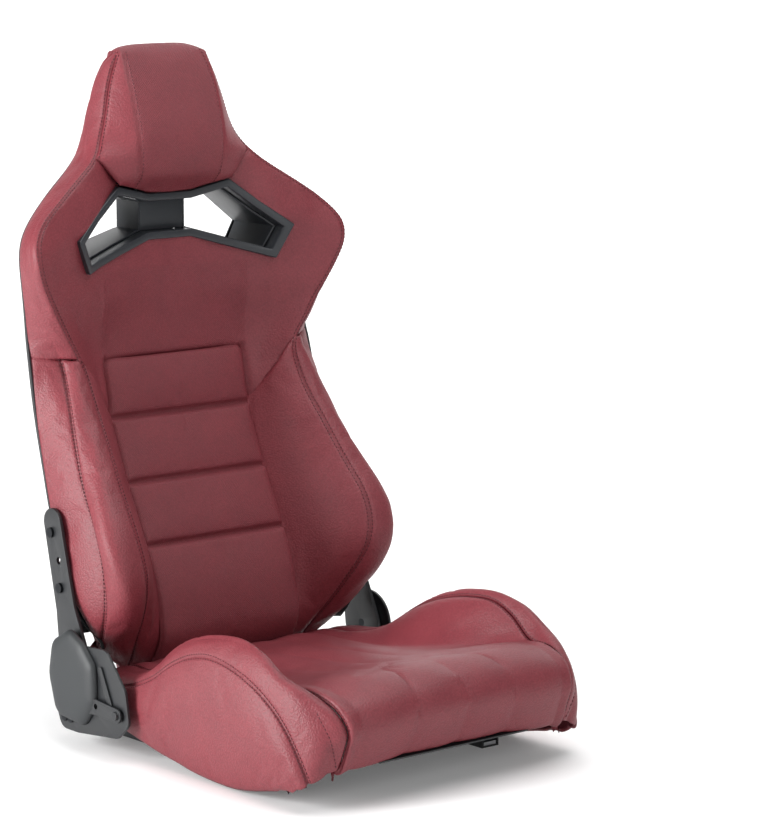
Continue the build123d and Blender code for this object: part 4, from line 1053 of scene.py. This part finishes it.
def stitchTree():
    tree = bpy.data.node_groups.new("stitchRow", "GeometryNodeTree")
    face = tree.interface
    face.new_socket("Geometry", in_out="INPUT", socket_type="NodeSocketGeometry")
    names = {}
    for label, kind in (("Stitch Length", "NodeSocketFloat"), ("Pitch", "NodeSocketFloat"),
                        ("Thread Radius", "NodeSocketFloat"), ("Thread", "NodeSocketMaterial")):
        names[label] = face.new_socket(label, in_out="INPUT", socket_type=kind).identifier
    face.new_socket("Geometry", in_out="OUTPUT", socket_type="NodeSocketGeometry")
    source = addNode(tree, "NodeGroupInput")
    curve = addNode(tree, "GeometryNodeMeshToCurve", None, {"Mesh": source.outputs["Geometry"]})
    spaced = addNode(tree, "GeometryNodeResampleCurve", {"mode": "LENGTH"},
                     {"Curve": curve.outputs["Curve"], "Length": source.outputs["Pitch"]})
    ball = addNode(tree, "GeometryNodeMeshUVSphere", None, {"Segments": 7, "Rings": 5, "Radius": 1.0})
    half = addNode(tree, "ShaderNodeMath", {"operation": "MULTIPLY"},
                   {0: source.outputs["Stitch Length"], 1: 0.5})
    radius = source.outputs["Thread Radius"]
    size = addNode(tree, "ShaderNodeCombineXYZ", None, {"X": half.outputs[0], "Y": radius, "Z": radius})
    tangent = addNode(tree, "GeometryNodeInputTangent")
    turn = addNode(tree, "FunctionNodeAlignRotationToVector", {"axis": "X"},
                   {"Vector": tangent.outputs["Tangent"]})
    placed = addNode(tree, "GeometryNodeInstanceOnPoints", None,
                     {"Points": spaced.outputs["Curve"], "Instance": ball.outputs["Mesh"],
                      "Rotation": turn.outputs["Rotation"], "Scale": size.outputs["Vector"]})
    real = addNode(tree, "GeometryNodeRealizeInstances", None, {"Geometry": placed.outputs["Instances"]})
    coat = addNode(tree, "GeometryNodeSetMaterial", None,
                   {"Geometry": real.outputs["Geometry"], "Material": source.outputs["Thread"]})
    out = addNode(tree, "NodeGroupOutput", None, {"Geometry": coat.outputs["Geometry"]})
    return tree, names


def buildStitches():
    tree, names = stitchTree()
    for body, paths in seams.items():
        verts, edges = [], []
        for path in paths:
            start = len(verts)
            verts += [tuple(p) for p in path]
            edges += [(i, i + 1) for i in range(start, len(verts) - 1)]
        mesh = bpy.data.meshes.new("seamLines")
        mesh.from_pydata(verts, edges, [])
        lines = bpy.data.objects.new("seamLines", mesh)
        bpy.context.scene.collection.objects.link(lines)
        rows = lines.modifiers.new("stitches", "NODES")
        rows.node_group = tree
        rows[names["Stitch Length"]] = stitch["length"]
        rows[names["Pitch"]] = stitch["pitch"]
        rows[names["Thread Radius"]] = stitch["radius"]
        rows[names["Thread"]] = thread
        depsgraph = bpy.context.evaluated_depsgraph_get()
        done = bpy.data.meshes.new_from_object(lines.evaluated_get(depsgraph), depsgraph=depsgraph)
        bpy.data.objects.remove(lines)
        done.name = "stitches_" + body
        for face in done.polygons:
            face.use_smooth = True
        made = bpy.data.objects.new("stitches_" + body, done)
        bpy.context.scene.collection.objects.link(made)
        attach(made, body)


buildStitches()
print("stitches made")

# floor, backdrop and light
studio = {"front": -6.0, "wall": 5.0, "bend": 2.0, "height": 6.0, "halfWidth": 9.0, "turn": -40,
          "gap": 0.0005, "glow": 0.1, "ambient": 0.22}


def buildStudio():
    # a pale sweep: floor, a wide curve and the wall behind
    bend, half = studio["bend"], studio["halfWidth"]
    profile = [(studio["front"], 0.0)]
    for i in range(13):
        a = math.radians(90 * i / 12)
        profile.append((studio["wall"] - bend + bend * math.sin(a), bend - bend * math.cos(a)))
    profile.append((studio["wall"], studio["height"]))
    turn = math.radians(studio["turn"])
    verts, faces = [], []
    for along, up in profile:
        for wide in (-half, half):
            x = wide * math.cos(turn) - along * math.sin(turn)
            y = wide * math.sin(turn) + along * math.cos(turn)
            verts.append((x, y, up - studio["gap"]))
    for i in range(len(profile) - 1):
        faces.append((2 * i, 2 * i + 1, 2 * i + 3, 2 * i + 2))
    mesh = bpy.data.meshes.new("floor")
    mesh.from_pydata(verts, [], faces)
    for face in mesh.polygons:
        face.use_smooth = True
    floor = bpy.data.objects.new("floor", mesh)
    bpy.context.scene.collection.objects.link(floor)
    made, tree = newMaterial("paleStudioFloor")
    # matt pale paper, lifted a little so that its far end stays even
    shader = addNode(tree, "ShaderNodeBsdfPrincipled", None,
                     {"Base Color": (0.92, 0.92, 0.92, 1), "Roughness": 0.9,
                      "Emission Color": (1, 1, 1, 1), "Emission Strength": studio["glow"]})
    finishMaterial(tree, shader)
    mesh.materials.append(made)


def softLight(name, place, aim, size, power, colour=(1, 1, 1)):
    lamp = bpy.data.lights.new(name, "AREA")
    lamp.shape = "RECTANGLE"
    lamp.size, lamp.size_y = size
    lamp.energy = power
    lamp.color = colour
    made = bpy.data.objects.new(name, lamp)
    made.location = place
    made.rotation_euler = (Vector(aim) - Vector(place)).to_track_quat("-Z", "Y").to_euler()
    bpy.context.scene.collection.objects.link(made)


buildStudio()
softLight("keyLeft", (-3.3, 0.75, 1.05), (0, 0.1, 0.5), (1.3, 2.0), 170)
softLight("topSoft", (0.2, -0.4, 3.0), (0, 0.1, 0.4), (2.4, 2.4), 70)
softLight("frontFill", (-0.5, -4.0, 1.8), (0, 0.1, 0.5), (2.5, 2.0), 40)
softLight("wallWash", (2.2, 1.4, 3.2), (3.0, 4.0, 1.2), (3.0, 2.0), 120)
world = bpy.data.worlds.new("world")
bpy.context.scene.world = world
world.use_nodes = True
world.node_tree.nodes["Background"].inputs[0].default_value = (1, 1, 1, 1)
world.node_tree.nodes["Background"].inputs[1].default_value = studio["ambient"]
bpy.context.scene.view_settings.view_transform = "Standard"
print("studio made")
